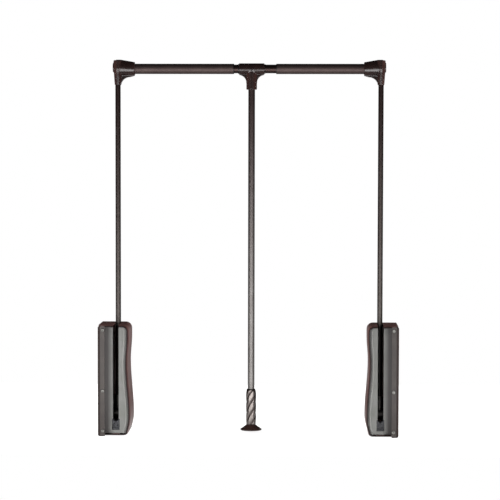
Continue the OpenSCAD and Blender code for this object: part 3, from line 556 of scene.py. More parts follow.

# %% [markdown]
# ### Grained plastic
#
# The casing's shell and its grey front plate are moulded in a spark-eroded mould. The mould's fine
# pits give an even satin surface without sharp reflections. Real grain is about 0.3 mm and too
# fine to show here, so a second, coarser grain of 2 mm carries the same look to a whole view. The
# plate is painted darker on the wall's side of the arm, as painted shade, and the shell's front lip
# is painted near black, also as painted shade.

# %% Grained moulded plastic
def grained_plastic(name, dark, light, roughness, outer=None, lip_shade=None):
    """Grained plastic. With a colour for outer, the part on the wall's side of the arm is painted
    with it as shade. With a colour for lip_shade, the frontmost 2 mm are painted with it as shade.
    The grain scatters most of the reflection, so the specular level is low."""
    material, tree, place = fresh(name)
    colour = blotches(tree, place, 30, dark, light)
    # painted shade: the plate darkens from the arm toward the wall
    if outer:
        arm = ARM_X / 1000
        colour = toward(tree, colour, outer, place, "X", arm + 0.003, arm + 0.018, about_middle=True)
    # painted shade: the shell's frontmost 2 mm, its lip, are painted near black
    if lip_shade:
        front = (FRONT_Y + ARM_PLANE[1]) / 1000
        colour = toward(tree, colour, lip_shade, place, "Y", front + 0.0024, front + 0.0012)
    grain = add(tree, "TexNoise", {"Vector": place, "Scale": per_mm(0.3), "Detail": 2.0})
    patches = add(tree, "TexNoise", {"Vector": place, "Scale": per_mm(2), "Detail": 3.0})
    shader(
        tree, colour, patches.outputs["Fac"], roughness - 0.05, roughness + 0.07,
        [(patches.outputs["Fac"], 0.02), (grain.outputs["Fac"], 0.01)], IOR=1.5, Specular_IOR_Level=0.2,
    )
    return material


# painted shade: the shell's front lip is painted near black
FINISH["shell"] = grained_plastic(
    "moulded_polystyrene_maroon_grained", "#462e2b", "#543b38", 0.42, lip_shade="#1c100f"
)
# painted shade: the plate is darker on the wall's side of the arm
FINISH["fascia"] = grained_plastic("moulded_abs_grey_grained", "#81817d", "#8b8b88", 0.46, outer="#332f2e")
print("grained plastic finishes made")

# %% [markdown]
# ### Painted sheet steel
#
# The base bracket is bent from 2 mm sheet and powder coated in warm grey. Powder flows into a
# slightly pebbled skin. The strip with the screws is the lighter part, and from the bends to the
# wall the grey is painted near black as painted shade.

# %% Powder-coated sheet steel
material, tree, place = fresh("powder_coated_sheet_steel_warm_grey")
colour = blotches(tree, place, 26, "#46403e", "#4e4845")
# painted shade: from the bends to the wall the coat is painted near black
bend = (FACE_X - 5.2) / 1000
colour = toward(tree, colour, "#1f1513", place, "X", bend - 0.001, bend, about_middle=True)
pebbles = add(tree, "TexVoronoi", {"Vector": place, "Scale": per_mm(1.1)}, feature="SMOOTH_F1")
bumps = [(pebbles.outputs["Distance"], 0.02)]
shader(tree, colour, bumps=bumps, Roughness=0.5, Specular_IOR_Level=0.2)
FINISH["bracket"] = material
print("bracket finish made")

# %% [markdown]
# ### Rubber
#
# The arm stop is moulded rubber: dark, dull, with a bloom of paler dust on it.

# %% Moulded rubber
material, tree, place = fresh("moulded_rubber_dark_grey")
colour = blotches(tree, place, 5, "#36363a", "#4a4a4e", 6.0)
pores = add(tree, "TexNoise", {"Vector": place, "Scale": per_mm(0.6), "Detail": 3.0})
shader(tree, colour, bumps=[(pores.outputs["Fac"], 0.03)], Roughness=0.72, IOR=1.5)
FINISH["rubber"] = material
print("rubber finish made")

# %% [markdown]
# ### Bright and dull metals
#
# Screws, axle and clips are steel, turned or pressed and then zinc plated, which gives a soft grey
# shine with fine turning marks. The spring is drawn wire, darkened by its heat treatment and
# oiled. The spring's guide, the plunger and the arm's carrier are zinc castings, blackened over a
# faint casting skin, and the arm's pin is as black. The bushes and the crank's roller are sintered
# bronze, dull and finely porous.

# %% Metals
def worked_metal(name, dark, light, roughness, grain, depth):
    """Bare metal with marks of the grain and depth given, in millimetres, that also vary its gloss."""
    material, tree, place = fresh(name)
    colour = blotches(tree, place, 12, dark, light)
    marks = add(tree, "TexNoise", {"Vector": place, "Scale": per_mm(grain), "Detail": 3.0}).outputs["Fac"]
    shader(tree, colour, marks, roughness - 0.06, roughness + 0.08, [(marks, depth)], Metallic=1.0)
    return material


FINISH["plated"] = worked_metal("zinc_plated_steel_turned", "#6b6a67", "#7e7d79", 0.46, 0.4, 0.004)
FINISH["wire"] = worked_metal("drawn_spring_wire_oiled", "#6f6e6b", "#858380", 0.34, 0.5, 0.006)
FINISH["casting"] = worked_metal("zinc_die_casting_blackened", "#2e2c2b", "#3a3836", 0.46, 0.9, 0.02)
FINISH["bronze"] = worked_metal("sintered_bronze_bush", "#8c7243", "#a98c57", 0.46, 0.5, 0.012)
print("metal finishes made")

# %% [markdown]
# ### The grip
#
# The twisted grip is die cast, polished and lacquered in the same bronze as the rod, but
# glossier, so each lobe carries a bright streak. The grooves between the lobes are painted
# darker than the crests, as painted shade.

# %% Polished bronze grip
material, tree, place = fresh("die_cast_grip_polished_bronze_lacquer")
# painted shade: the grooves are painted darker than the crests
tone = add(tree, "Attribute", attribute_name="groove")
worn = add(tree, "TexNoise", {"Vector": place, "Scale": per_mm(6), "Detail": 3.0})
crest_to_groove_shade = {"Fac": tone.outputs["Fac"], "Color1": linear("#6b6461"), "Color2": linear("#443a37")}
colour = add(tree, "MixRGB", crest_to_groove_shade).outputs["Color"]
shader(
    tree, colour, worn.outputs["Fac"], 0.28, 0.36, Metallic=0.95, Coat_Weight=0.3, Coat_Roughness=0.2
)
FINISH["grip"] = material
print("grip finish made")

# %% [markdown]
# ## Tubes
#
# A tube is a short outline, a long thin rectangle with soft corners, carried once round the axis.
# The soft corners are the rounded rims that a tube has after it is cut and brushed.

# %% Tubes
def tube(name, node, axis, wall, finish):
    """Outer wall, rim, bore and rim again, taken from the node's own box."""
    low, high = node_box(node)
    other = (axis + 1) % 3 if axis == 0 else 0
    r = (high[other] - low[other]) / 2
    centre = (low + high) / 2
    centre[axis] = 0
    a, b = low[axis], high[axis]
    profile = rounded([(a, r - wall), (a, r), (b, r), (b, r - wall)], 0.35)
    return make_piece(name, [node], *turned(profile, axis, centre), finish)


for side in ("left", "right"):
    tube(f"{side}_upright", f"{side}_arm_tube", 2, 1.2, "arm")
    tube(f"{side}_rail_tube", f"{side}_outer_tube", 0, 1.0, "rail")
tube("middle_rail_tube", "inner_tube", 0, 1.2, "inner rail")
tube("pull_rod_tube", "pull_rod", 2, 1.2, "rod")

# %% [markdown]
# ## Liners and stop rings
#
# The rail's inner tube slides in a plastic liner whose flange covers the outer tube's cut end.
# Two rings beside the tee keep it in its place. All are turned shapes.

# %% Liners and rings
for side, sign in (("left", -1), ("right", 1)):
    low, high = node_box(f"{side}_guide_bush")
    mouth, deep = (low[0], high[0]) if sign > 0 else (high[0], low[0])
    step_x, bore, body, flange = mouth + sign * 1.5, 9.8, 10.5, 11.5
    corners = [(mouth, bore), (mouth, flange), (step_x, flange), (step_x, body), (deep, body), (deep, bore)]
    outline = rounded(corners, [0.3, 0.5, 0.2, 0.2, 0.2, 0.2])
    make_piece(f"{side}_rail_liner", [f"{side}_guide_bush"], *turned(outline, 0, (0, 0, RAIL_Z)), "acetal")

low, high = node_box("tee_rings")
RING_W, RING_IN, RING_OUT = 1.8, 9.75, 11
rings = []
for a in (low[0], high[0] - RING_W):
    ring = [(a, RING_IN), (a, RING_OUT), (a + RING_W, RING_OUT), (a + RING_W, RING_IN)]
    rings.append(turned(rounded(ring, 0.5), 0, (0, 0, RAIL_Z)))
make_piece("tee_stop_rings", ["tee_rings"], *several(*rings), "acetal")

# %% [markdown]
# ## Elbow
#
# The elbow is a moulded corner. A sleeve holds the rail and swells toward a thick corner, an
# upright block holds the arm, a round hub stands out on the outer face, and a thin web with a
# hollow curve braces the inner corner. Each is one distance, and fillets join them.

# %% Elbow
def elbow_field(p):
    """Swelling sleeve, upright block of oval section, hub and web, less the two bores."""
    x, y, z = np.moveaxis(p, -1, 0)
    z = z - RAIL_Z
    start, corner = ARM_X - 38.2, ARM_X - 6
    radius = np.interp(x, [start, corner, ARM_X + 3, ARM_X + 7.5], [15.1, 18.2, 18.2, 15.4])
    lift = np.interp(x, [start, corner], [0, 2.4])
    middle, half = (start + ARM_X + 7.5) / 2, (ARM_X + 7.5 - start) / 2
    sleeve = meet((np.hypot(y / 15.1, (z - lift) / radius) - 1) * 15.1, np.abs(x - middle) - half, 1.4)
    wide = np.interp(z, [-36, 0], [7.3, 9.8])
    deep = np.interp(z, [-36, -20, -8, 0], [8.8, 10.5, 16.2, 17.6])
    oval = (np.hypot((x - ARM_X) / wide, y / deep) - 1) * wide
    block = meet(oval, np.abs(z + 8.5) - 27.5, 1.4)
    hub = bar(p, (ARM_X, 0, RAIL_Z + 3), (ARM_X + 11, 0, RAIL_Z + 3), 11, 11, 1.2)
    away = ARM_X - x - 27.6
    hollow = np.where(away < 0, 21 - np.hypot(away, z + 39.5), 0.96 * (0.28 * away - z - 18.5))
    flat = np.maximum(np.maximum(away - 9.5, x - ARM_X), np.maximum(-35.5 - z, z + 8))
    web = meet(np.maximum(flat, hollow), np.abs(y) - 5, 0.8)
    whole = join(join(join(sleeve, block, 1.6), hub, 1.0), web, 1.4)
    rail_bore = bar(p, (start - 5, 0, RAIL_Z), (ARM_X - 8.5, 0, RAIL_Z), 11.5, 11.5, 0.3)
    arm_bore = bar(p, (ARM_X, 0, RAIL_Z - 40), (ARM_X, 0, RAIL_Z + 12), 6, 6, 0.3)
    return meet(meet(whole, -rail_bore, 0.6), -arm_bore, 0.6)


elbow = moulded_in("right_elbow", elbow_field, 0.62)
on_both_sides("elbow_moulding", "elbow", *elbow, "moulding", sharp=60, field=elbow_field)

# %% [markdown]
# ## Tee
#
# The tee turns on the rail's inner tube and holds the pull rod. It is made in the same way as the
# elbow: a sleeve, a socket below it, and two thin webs with hollow curves.

# %% Tee
def tee_field(p):
    """Sleeve, socket and webs, less the bore for the rail and the one for the rod."""
    x, y, z = np.moveaxis(p, -1, 0)
    x, z = x - ROD_X, z - RAIL_Z
    sleeve = meet(np.hypot(y, z) - 12.5, np.abs(x) - 28.5, 1.3)
    socket = meet(np.hypot(x, y) - 11.85, np.abs(z + 23.2) - 23.2, 1.3)
    hollow = 18 - np.hypot(np.abs(x) - 29.85, z + 31.5)
    flat = np.maximum(np.abs(x) - 27.8, np.maximum(-31.5 - z, z + 6))
    web = meet(np.maximum(flat, hollow), np.abs(y) - 4.5, 0.8)
    whole = join(join(sleeve, socket, 1.2), web, 1.2)
    rail_bore = np.hypot(y, z) - 9.8
    rod_bore = meet(np.hypot(x, y) - 7.5, z + 18.5, 0.3)
    return meet(meet(whole, -rail_bore, 0.6), -rod_bore, 0.6)


tee = make_piece("tee_moulding", ["tee"], *moulded_in("tee", tee_field, 0.6), "moulding", sharp=60)
smooth_light(tee, tee_field)

# %% [markdown]
# ## Grip
#
# The grip is a bar with four lobes that twist as they rise, once round in 99 mm. Its radius
# depends on the angle and on the height. It draws in nearly to the rod's width over a round
# shoulder of 9 mm, and a spigot goes on into the rod. The lobes are full and the grooves between
# them narrow: the depth of a groove is 2.2 mm times (1 - c) to the power of 2.4, where c goes from
# 0 in a groove to 1 on a crest.

# %% Grip
GRIP_Z = node_box("grip")[0][2]
GRIP_L, SHOULDER, PITCH, TURN_Z, SIDES = 80.5, 9.0, 99.0, 83.0, 160
angles = np.linspace(0, 2 * np.pi, SIDES, endpoint=False)[None, :]
shoulder = GRIP_L - SHOULDER + SHOULDER * np.sin(np.linspace(0, np.pi / 2, 13))
t = np.concatenate([np.linspace(0.6, GRIP_L - SHOULDER, 130)[:-1], shoulder])[:, None]
twist = 2 * np.pi * (t + GRIP_Z - TURN_Z) / PITCH
crest = np.sqrt(np.cos(2 * (angles - twist)) ** 2 + 0.012) / np.sqrt(1.012)
CREST_R, NECK_R, GROOVE = 11.4, 7.8, 2.2
full = CREST_R - GROOVE * (1 - crest) ** 2.4
share = np.sqrt(np.clip(1 - ((t - GRIP_L + SHOULDER) / SHOULDER).clip(0) ** 2, 0, 1))
radius = NECK_R + (full - NECK_R) * share
below = radius[:1] - np.array([[9.0], [0.5]])
spigot = np.repeat([[6.3], [6.3], [0.0]], SIDES, axis=1)
radius = np.concatenate([below.clip(0), radius, spigot])
height = np.concatenate([[[0.0], [0.0]], t, [[GRIP_L], [GRIP_L + 16], [GRIP_L + 16]]]) + GRIP_Z
grid = np.stack([ROD_X + radius * np.cos(angles), radius * np.sin(angles), height + 0 * angles], -1)
grip = make_piece("twisted_grip", ["grip"], grid.reshape(-1, 3), skin(grid, False, True), "grip", 50)

# %% [markdown]
# The painted shade in the grooves needs to know where the grooves are. The wave that makes them is
# worked out again for each point of the finished mesh, as (1 - |cos 2a|)^2 with a the angle from a
# crest, and stored on it as an attribute.

# %% Painted groove shade on the grip
at = points_of(grip)
turn = np.arctan2(at[:, 1], at[:, 0] - ROD_X) - 2 * np.pi * (at[:, 2] - TURN_Z) / PITCH
groove = grip.data.attributes.new("groove", "FLOAT", "POINT")
groove.data.foreach_set("value", (1 - np.abs(np.cos(2 * turn))).astype(np.float32) ** 2)
print("groove tone from", groove.data[0].value)

# %% [markdown]
# ## Foot of the rod
#
# A flared plastic foot closes the grip. Its outer side is a slightly hollow curve, whose radius
# grows with the distance below the top to the power of 1.25. It is open underneath, where its
# screw is.

# %% Foot
low, high = node_box("rod_foot")
height, outer = high[2] - low[2], (high[0] - low[0]) / 2
roof, neck, bore, edge = height - 5.5, 10.0, 2.3, 2.4
d = np.linspace(0, 1, 18)[1:-1]
flare = np.stack([height - (height - edge) * d, neck + (outer - neck) * d**1.25], -1)
rim = rounded([(edge, outer), (0, outer), (0, outer - 4.2), (roof, 9)], [0.01, 1.1, 0.8, 1.5])
profile = np.concatenate([[(roof, bore), (height, bore), (height, neck)], flare, rim])
make_piece("flared_foot", ["rod_foot"], *turned(profile, 2, (ROD_X, 0, low[2]), 128), "foot")

# %% [markdown]
# ## Base bracket
#
# The base bracket is one strip of sheet bent twice into a channel. Its outer and inner face are
# the same path, one sheet's thickness apart, and the upper and lower ends follow a rounded
# corner: the end's height depends on how close a point is to the wall. Three lugs behind the front
# strip and a boss for the axle are joined to it, and the holes are drilled last.

# %% Base bracket
def bracket_path(depth):
    """The channel's path in x and y, set in from its outer face by depth: leg, bend, base, bend,
    leg. In a bend the point is the bend's centre plus (BEND_R - depth) * (cos a, sin a)."""
    a, r = np.linspace(-np.pi / 2, 0, 9), BEND_R - depth
    bend = np.stack([FACE_X - BEND_R + r * np.cos(a), FRONT_Y + BEND_R + r * np.sin(a)], -1)
    leg = np.stack([np.linspace(LEG_X, FACE_X - BEND_R, 9)[:-1], np.full(8, FRONT_Y + depth)], -1)
    front = np.concatenate([leg, bend])
    return np.concatenate([front, front[::-1] * (1, -1) + (0, FRONT_Y + BACK_Y)])


def bracket_end(x, radius, sign, edge):
    """Height of the upper (sign 1) or lower (sign -1) end at x, rounded by radius at the wall."""
    run = np.clip(x - (FACE_X - radius), 0, radius)
    return edge - sign * (radius - np.sqrt(radius**2 - run**2))


def bracket_skin(depth):
    """The path drawn up from the lower end to the upper one, as a grid of points."""
    path = bracket_path(depth)
    t = np.linspace(0, 1, 25)[None, :]
    x, y = path[:, :1], path[:, 1:]
    z0, z1 = bracket_end(x, 5, -1, 0), bracket_end(x, 2.5, 1, CASING_H)
    return np.stack([x + 0 * t, y + 0 * t, z0 + (z1 - z0) * t], -1)


FASCIA_SCREWS, REAR_SCREWS = (12.5, 102, 238.5), (24, 222)
GUIDE_SCREWS, GUIDE_Z = (7.8, 26.2), 201
BOSS_R, AXLE_R = 9, 5.0
ahead, beyond = FRONT_Y - 1, FACE_X + 1
bracket = rough_body(walled(bracket_skin(0), bracket_skin(SHEET)))
lugs = [
    brick((LEG_X - 2, -61, max(z - 6, 4.8)), (FACE_X - 1.5, -59, min(z + 6, 243.5)))
    for z in FASCIA_SCREWS
]
boss = pin(0, FACE_X - 7, FACE_X - 1.5, BOSS_R, (0, 0, PIVOT_Z), 64)
combine(bracket, "UNION", boss, *lugs)
holes = [pin(1, ahead, -58, 2.1, (SCREW_X, 0, z)) for z in FASCIA_SCREWS]
holes += [pin(1, BACK_Y - 3, BACK_Y + 1, 2.1, (SCREW_X, 0, z)) for z in REAR_SCREWS]
holes += [pin(0, FACE_X - 4, beyond, 2.5, (0, y, z)) for y in (-47, 17) for z in (26, 218)]
holes += [pin(0, FACE_X - 4, beyond, 2.0, (0, y, GUIDE_Z)) for y in GUIDE_SCREWS]
holes += [pin(0, FACE_X - 9, beyond, AXLE_R, (0, 0, PIVOT_Z), 64)]
combine(bracket, "DIFFERENCE", *holes)
print("bracket has", len(bracket.data.polygons), "faces")


# %% The bracket on both sides, with soft edges
def soft_edges(piece, width, angle=35):
    """Breaks every edge sharper than the angle by a small rounded bevel, as a mould or press does."""
    bevel = piece.modifiers.new("soft edges", "BEVEL")
    bevel.width, bevel.segments, bevel.limit_method = width / 1000, 2, "ANGLE"
    bevel.angle_limit = math.radians(angle)
    bevel.harden_normals = True


def place_both(body, stem, node, finish, bevel, sharp=35):
    """Turns a body that has been cut and joined into the right-hand piece and its mirror image."""
    mesh = body.data
    for side, sign in BOTH:
        copy = mesh.copy()
        if sign < 0:
            copy.transform([[-1, 0, 0, 0], [0, 1, 0, 0], [0, 0, 1, 0], [0, 0, 0, 1]])
            copy.flip_normals()
        soft_edges(dress(in_scene(f"{side}_{stem}", copy), [f"{side}_{node}"], finish, sharp), bevel)
    bpy.data.objects.remove(body)


place_both(bracket, "wall_channel", "base_bracket", "bracket", 0.35)

# %% [markdown]
# ## Shell
#
# The shell is a moulded cover. Its outline runs along the bottom, round the foot, up the wavy
# inner wall, round the shoulder and along the top. That outline is carried from front to back,
# turned in by a fillet at the rear edge, and closed by the back wall. A seat for the stop, a
# bearing for the axle and two screw bosses are joined to it. It is cut back where the bracket and
# the front plate lie, and the arm's slot is cut into its top.

# %% The shell's outline
def edge_width(z):
    """Distance of the wavy inner wall from the arm's axis at height z: half cosine waves between
    a shoulder, a waist and a belly, and a quarter wave down to the foot."""

    def ease(a, b):
        return (1 - np.cos(np.pi * np.clip((z - a) / (b - a), 0, 1))) / 2

    upper = WAIST_W + (SHOULDER_W - WAIST_W) * ease(WAIST_Z, SHOULDER_Z)
    middle = BELLY_W + (WAIST_W - BELLY_W) * ease(BELLY_Z, WAIST_Z)
    below = np.clip((BELLY_Z - z) / (BELLY_Z - SHELL_Z - FOOT_R), 0, 1)
    lower = BELLY_W - (BELLY_W - FOOT_W) * (1 - np.cos(np.pi / 2 * below))
    return np.where(z >= WAIST_Z, upper, np.where(z >= BELLY_Z, middle, lower))


def shell_path(inset, base_x, spread=0.0):
    """Outline in x and z, set in by inset: bottom, foot corner, wavy wall, top corner, top. A
    spread moves the wavy wall and the top outward again."""
    z_top, z_low = CASING_H - inset + spread, SHELL_Z + inset
    top_r, foot_r = TOP_R - inset + spread, FOOT_R - inset
    x_top, x_foot = ARM_X - SHOULDER_W + TOP_R, ARM_X - FOOT_W + FOOT_R - spread
    z = np.linspace(z_low + foot_r, z_top - top_r, 120)[1:-1]
    side = np.stack([ARM_X - edge_width(z) + inset - spread, z], -1)
    a = np.linspace(-np.pi / 2, -np.pi, 9)[:, None]
    foot = np.concatenate([x_foot + foot_r * np.cos(a), z_low + foot_r + foot_r * np.sin(a)], 1)
    b = np.linspace(np.pi, np.pi / 2, 11)[:, None]
    top = np.concatenate([x_top + top_r * np.cos(b), z_top - top_r + top_r * np.sin(b)], 1)
    s = np.linspace(0, 1, 8)[:-1]
    below = np.stack([base_x + (x_foot - base_x) * s, np.full(7, z_low)], -1)
    above = np.stack([x_top + (base_x - x_top) * (1 - s[::-1]), np.full(7, z_top)], -1)
    return np.concatenate([below, foot, side, top, above])


print("the outline has", len(shell_path(0, FACE_X)), "points")


# %% Shell
RIM_OUT, RIM_DEEP = 3.2, 12


def shell_skin(inset, fillet, back):
    """Rows of the outline: round the soft front rim (it spreads by RIM_OUT * sin a while y grows
    by RIM_DEEP * (1 - cos a)), straight to the fillet, round it (the outline shrinks by
    fillet * (1 - cos a) while y grows by fillet * sin a), then over the back to the wall side."""
    rows = []
    for a in np.linspace(0, np.pi / 2, 9)[:-1]:
        rows.append((inset - RIM_OUT * np.sin(a), FRONT_Y + RIM_DEEP * (1 - np.cos(a)), 0.0))
    wide = inset - RIM_OUT
    for y in np.linspace(FRONT_Y + RIM_DEEP, back - fillet, 6):
        rows.append((wide, y, 0.0))
    for a in np.linspace(0, np.pi / 2, 6)[1:]:
        rows.append((wide + fillet * (1 - np.cos(a)), back - fillet + fillet * np.sin(a), 0.0))
    for share in np.linspace(0, 1, 8)[1:]:
        rows.append((wide + fillet, back, share))
    grid = []
    for w, y, share in rows:
        path = shell_path(max(w, inset), FACE_X - SHEET, max(inset - w, 0))
        along = np.linspace(path[0, 1], path[-1, 1], len(path))
        x = path[:, 0] + (FACE_X - SHEET - path[:, 0]) * share
        z = path[:, 1] + (along - path[:, 1]) * share
        grid.append(np.stack([x, np.full(len(x), y), z], -1))
    return np.stack(grid)


shell = rough_body(walled(shell_skin(0, 3, BACK_Y - 2), shell_skin(2, 1, BACK_Y - 4)))
seat = brick((ARM_X - STOP_HALF, -60.9, 4.2), (ARM_X + STOP_HALF, -45, STOP_Z))
bearing_x = ARM_X - float(edge_width(PIVOT_Z)) + 1
bearing = pin(0, bearing_x, ARM_X - 15.5, BOSS_R, (0, 0, PIVOT_Z), 64)
screw_bosses = [pin(1, BACK_Y - 12, BACK_Y - 3, 4, (SCREW_X, 0, z)) for z in REAR_SCREWS]
combine(shell, "UNION", seat, bearing, *screw_bosses)
above = CASING_H + 5
for corners in (
    ((LEG_X - 0.1, ahead, 1), (beyond, -58.9, CASING_H - 2)),
    ((LEG_X - 0.1, ahead, 1), (beyond, -62.9, above)),
    ((PLATE_X, ahead, 1), (beyond, -60, above)),
    ((PLATE_X, BACK_Y - 5, 1), (beyond, BACK_Y + 5, above)),
    ((ARM_X - SLOT_HALF, ahead, CASING_H - 3), (ARM_X + SLOT_HALF, 0, above)),
):
    combine(shell, "DIFFERENCE", brick(*corners))
combine(shell, "DIFFERENCE", pin(2, CASING_H - 3, above, SLOT_HALF, (ARM_X, 0, 0), 64))
bores = [pin(0, bearing_x + 3, ARM_X - 14, AXLE_R, (0, 0, PIVOT_Z), 64)]
bores += [pin(1, BACK_Y - 11, BACK_Y - 1, 2, (SCREW_X, 0, z)) for z in REAR_SCREWS]
combine(shell, "DIFFERENCE", *bores)
print("shell has", len(shell.data.polygons), "faces")
place_both(shell, "casing_cover", "shell", "shell", 0.5)

# %% [markdown]
# ## Fascia
#
# The grey front plate lies a little behind the shell's rim. It is slightly crowned, and a raised
# bead follows the wavy edge. The front is a grid from the wavy edge to the bracket's strip, one
# row for each height, and the crown and the bead push it forward. It ends 4.6 mm above the shell's
# lower face, so the shell's dark rim shows below it. Two lips line the arm's slot, and the slot,
# the stop's window and the screw holes are cut through.

# %% Fascia
def fascia_front(path):
    """y = flat - (crown + bead) * fade. The crown is 1 - ((x - arm) / 38)^2, the bead is a bump
    about 3 mm wide that runs 3.4 mm inside the wavy edge, and both fade out at the two ends."""
    s = np.linspace(0, 1, 90)[None, :]
    x = path[:, :1] + (PLATE_X - path[:, :1]) * s
    z = path[:, 1:] + 0 * s
    crown = 1.0 * (1 - ((x - ARM_X) / 38) ** 2).clip(0)
    inside = x - path[:, :1]
    bead = 0.7 * np.exp(-(((inside - 3.4) / 1.5) ** 2))
    fade = (1 - np.exp(-((z - SHELL_Z) / 6) ** 2)) * (1 - np.exp(-((CASING_H - z) / 8) ** 2))
    return np.stack([x, FLAT_Y - (crown + bead) * fade, z], -1)


FLAT_Y, PLATE_BACK, PLATE_RISE = -63, -61, 4.6
path = shell_path(2.1, PLATE_X)[7:-7]
path[:, 1] = np.maximum(path[:, 1], SHELL_Z + PLATE_RISE)
front = fascia_front(path)
back = front.copy()
back[..., 1] = PLATE_BACK
fascia = rough_body(walled(front, back))
LIP_T = 1.6
lips = [
    brick((x, -61.5, 41), (x + LIP_T, -49, CASING_H - 2.1))
    for x in (ARM_X - SLOT_HALF - LIP_T, ARM_X + SLOT_HALF)
]
combine(fascia, "UNION", *lips)
for half, low_z, high_z in ((SLOT_HALF, 38, 250), (STOP_HALF + 0.1, STOP_Z, STOP_TOP + 0.3)):
    combine(fascia, "DIFFERENCE", brick((ARM_X - half, -67, low_z), (ARM_X + half, -30, high_z)))
combine(fascia, "DIFFERENCE", *[pin(1, -67, -59, 2.25, (SCREW_X, 0, z)) for z in FASCIA_SCREWS])
print("fascia has", len(fascia.data.polygons), "faces")
place_both(fascia, "front_plate", "fascia", "fascia", 0.4, 30)

# %% [markdown]
# ## Arm stop
#
# The stop is a rubber block in the foot of the slot. The arm comes down into its saddle, and two
# grooves are moulded into its front face: a straight one across it and an arch below the saddle.

# %% Arm stop
def stop_field(p):
    """Block with a saddle along the lowered arm, a groove across its front and an arched groove."""
    block = box(p, (ARM_X - STOP_HALF, -62, STOP_Z), (ARM_X + STOP_HALF, -45, STOP_TOP), 1.3)
    tilt, reach = math.radians(SWING), 130
    far = (ARM_X, -reach * math.sin(tilt), PIVOT_Z + reach * math.cos(tilt))
    saddle = bar(p, (ARM_X, 0, PIVOT_Z), far, 6.4, 6.4, 0.1)
    x, y, z = np.moveaxis(p, -1, 0)
    slot = np.hypot(z - 19.8, y + 62) - 1.5
    arch = np.hypot(np.hypot(x - ARM_X, z - 26) - 4.8, y + 62) - 1.4
    whole = meet(block, -saddle, 0.7)
    return meet(meet(whole, -slot, 0.3), -np.maximum(arch, 22.5 - z), 0.3)


on_both_sides("arm_bumper", "arm_stop", *moulded_in("right_arm_stop", stop_field, 0.36, 1), "rubber", 60)

# %% [markdown]
# ## Screws
#
# All screws have a pan head with a cross recess. One distance describes them: a disc with a
# rounded top, less two crossed slots that narrow as they go down, joined to a shank with a
# rounded end. Each screw is then moved to its seat and turned to its direction.

# %% Screws
def screw(d, head_d, head_h, length, step=0.2):
    """Points and faces of a screw along +z, with the head's seat at the origin."""

    def field(p):
        """Head less its recess, joined to the shank. The two slots narrow by 0.18 mm per mm."""
        x, y, z = np.moveaxis(p, -1, 0)
        r = np.hypot(x, y)
        head = np.maximum(meet(r - head_d / 2, -z - head_h, head_h * 0.65), z)
        narrow = (z + head_h).clip(0) * 0.18
        half, reach, floor = 0.075 * head_d, 0.3 * head_d, z + head_h * 0.3
        one = np.maximum(np.abs(x) - half + narrow, np.abs(y) - reach + narrow)
        two = np.maximum(np.abs(y) - half + narrow, np.abs(x) - reach + narrow)
        recess = np.maximum(np.minimum(one, two), floor)
        shank = meet(r - d / 2, z - length, d / 4)
        return join(meet(head, -recess, 0.12), np.maximum(shank, -z - head_h * 0.25), 0.1)

    size = head_d / 2 + 3 * step
    return moulded(field, (-size, -size, -head_h - 3 * step), (size, size, length + 3 * step), step)


def seated(shape, seat, along):
    """Moves a screw to its seat and turns its z to the axis `along`: p = seat + x*a + y*b + z*along."""
    points, faces = shape
    along = np.asarray(along, float)
    a = np.roll(along, 1)
    b = np.cross(along, a)
    return np.asarray(seat, float) + points @ np.stack([a, b, along]), faces


BODY, SMALL = (4, 7.5, 2.2), (3, 5.6, 1.6)
FORWARD, BACKWARD, UP, TO_WALL = (0, -1, 0), (0, 1, 0), (0, 0, 1), (1, 0, 0)
strip, rear = screw(*BODY, 12), screw(*BODY, 9)
for stem, node, screws in (
    ("strip_screws", "fascia_screws", [(strip, (SCREW_X, FRONT_Y, z), BACKWARD) for z in FASCIA_SCREWS]),
    ("rear_leg_screws", "rear_screws", [(rear, (SCREW_X, BACK_Y, z), FORWARD) for z in REAR_SCREWS]),
    ("elbow_fixings", "elbow_screws", [
        (screw(*SMALL, 7.6), (ARM_X - 26.2, 16.5, RAIL_Z), FORWARD),
        (screw(*SMALL, 6.3), (ARM_X, 9.6, RAIL_Z - 27), FORWARD),
    ]),
):
    on_both_sides(stem, node, *several(*[seated(*one) for one in screws]), "plated", 50)
for name, node, one in (
    ("tee_fixing", "rod_screw", (screw(*SMALL, 7.25), (ROD_X, 12.05, RAIL_Z - 36.4), FORWARD)),
    ("foot_fixing", "foot_screw", (screw(4, 7, 2, 16), (ROD_X, 0, 14.7), UP)),
):
    make_piece(name, [node], *seated(*one), "plated", 50)
low, high = node_box("right_guide_screws")
guide = screw(4, 7, 2.5, high[0] - low[0] - 2.5, 0.25)
guides = several(*[seated(guide, (low[0] + 2.5, y, GUIDE_Z), TO_WALL) for y in GUIDE_SCREWS])
on_both_sides("guide_fixings", "guide_screws", *guides, "plated", 50)

# %% [markdown]
# ## Spring
#
# The spring is round wire wound into twenty turns, closed at both ends. A circle is carried along
# the helix. When the frame swings, the plunger pushes the spring's lower end up by 31 mm.

# %% Spring
def spring_grid(x0, y0, z0, z1, turns=20, mean_r=9.25, wire=1.25):
    """Point = centre of the wire + wire * (cos b * outward + sin b * up). The first and the last
    turn rise by 0.6 mm more than the wire's thickness, and the turns between share the rest."""
    t = np.linspace(0, turns, turns * 40 + 1)
    low = 2 * wire + 0.6
    body = z1 - z0 - 2 * wire - 2 * low
    rise = np.interp(t, [0, 1, turns - 1, turns], [0, low, low + body, 2 * low + body])
    b = np.linspace(0, 2 * np.pi, 14, endpoint=False)[None, :]
    thick = np.interp(t, [0, 0.001, turns - 0.001, turns], [0, 1, 1, 0])[:, None] * wire
    r = mean_r + thick * np.cos(b)
    a = 2 * np.pi * t[:, None]
    z = z0 + wire + rise[:, None] + thick * np.sin(b)
    return np.stack([x0 + r * np.cos(a), y0 + r * np.sin(a), z], -1)


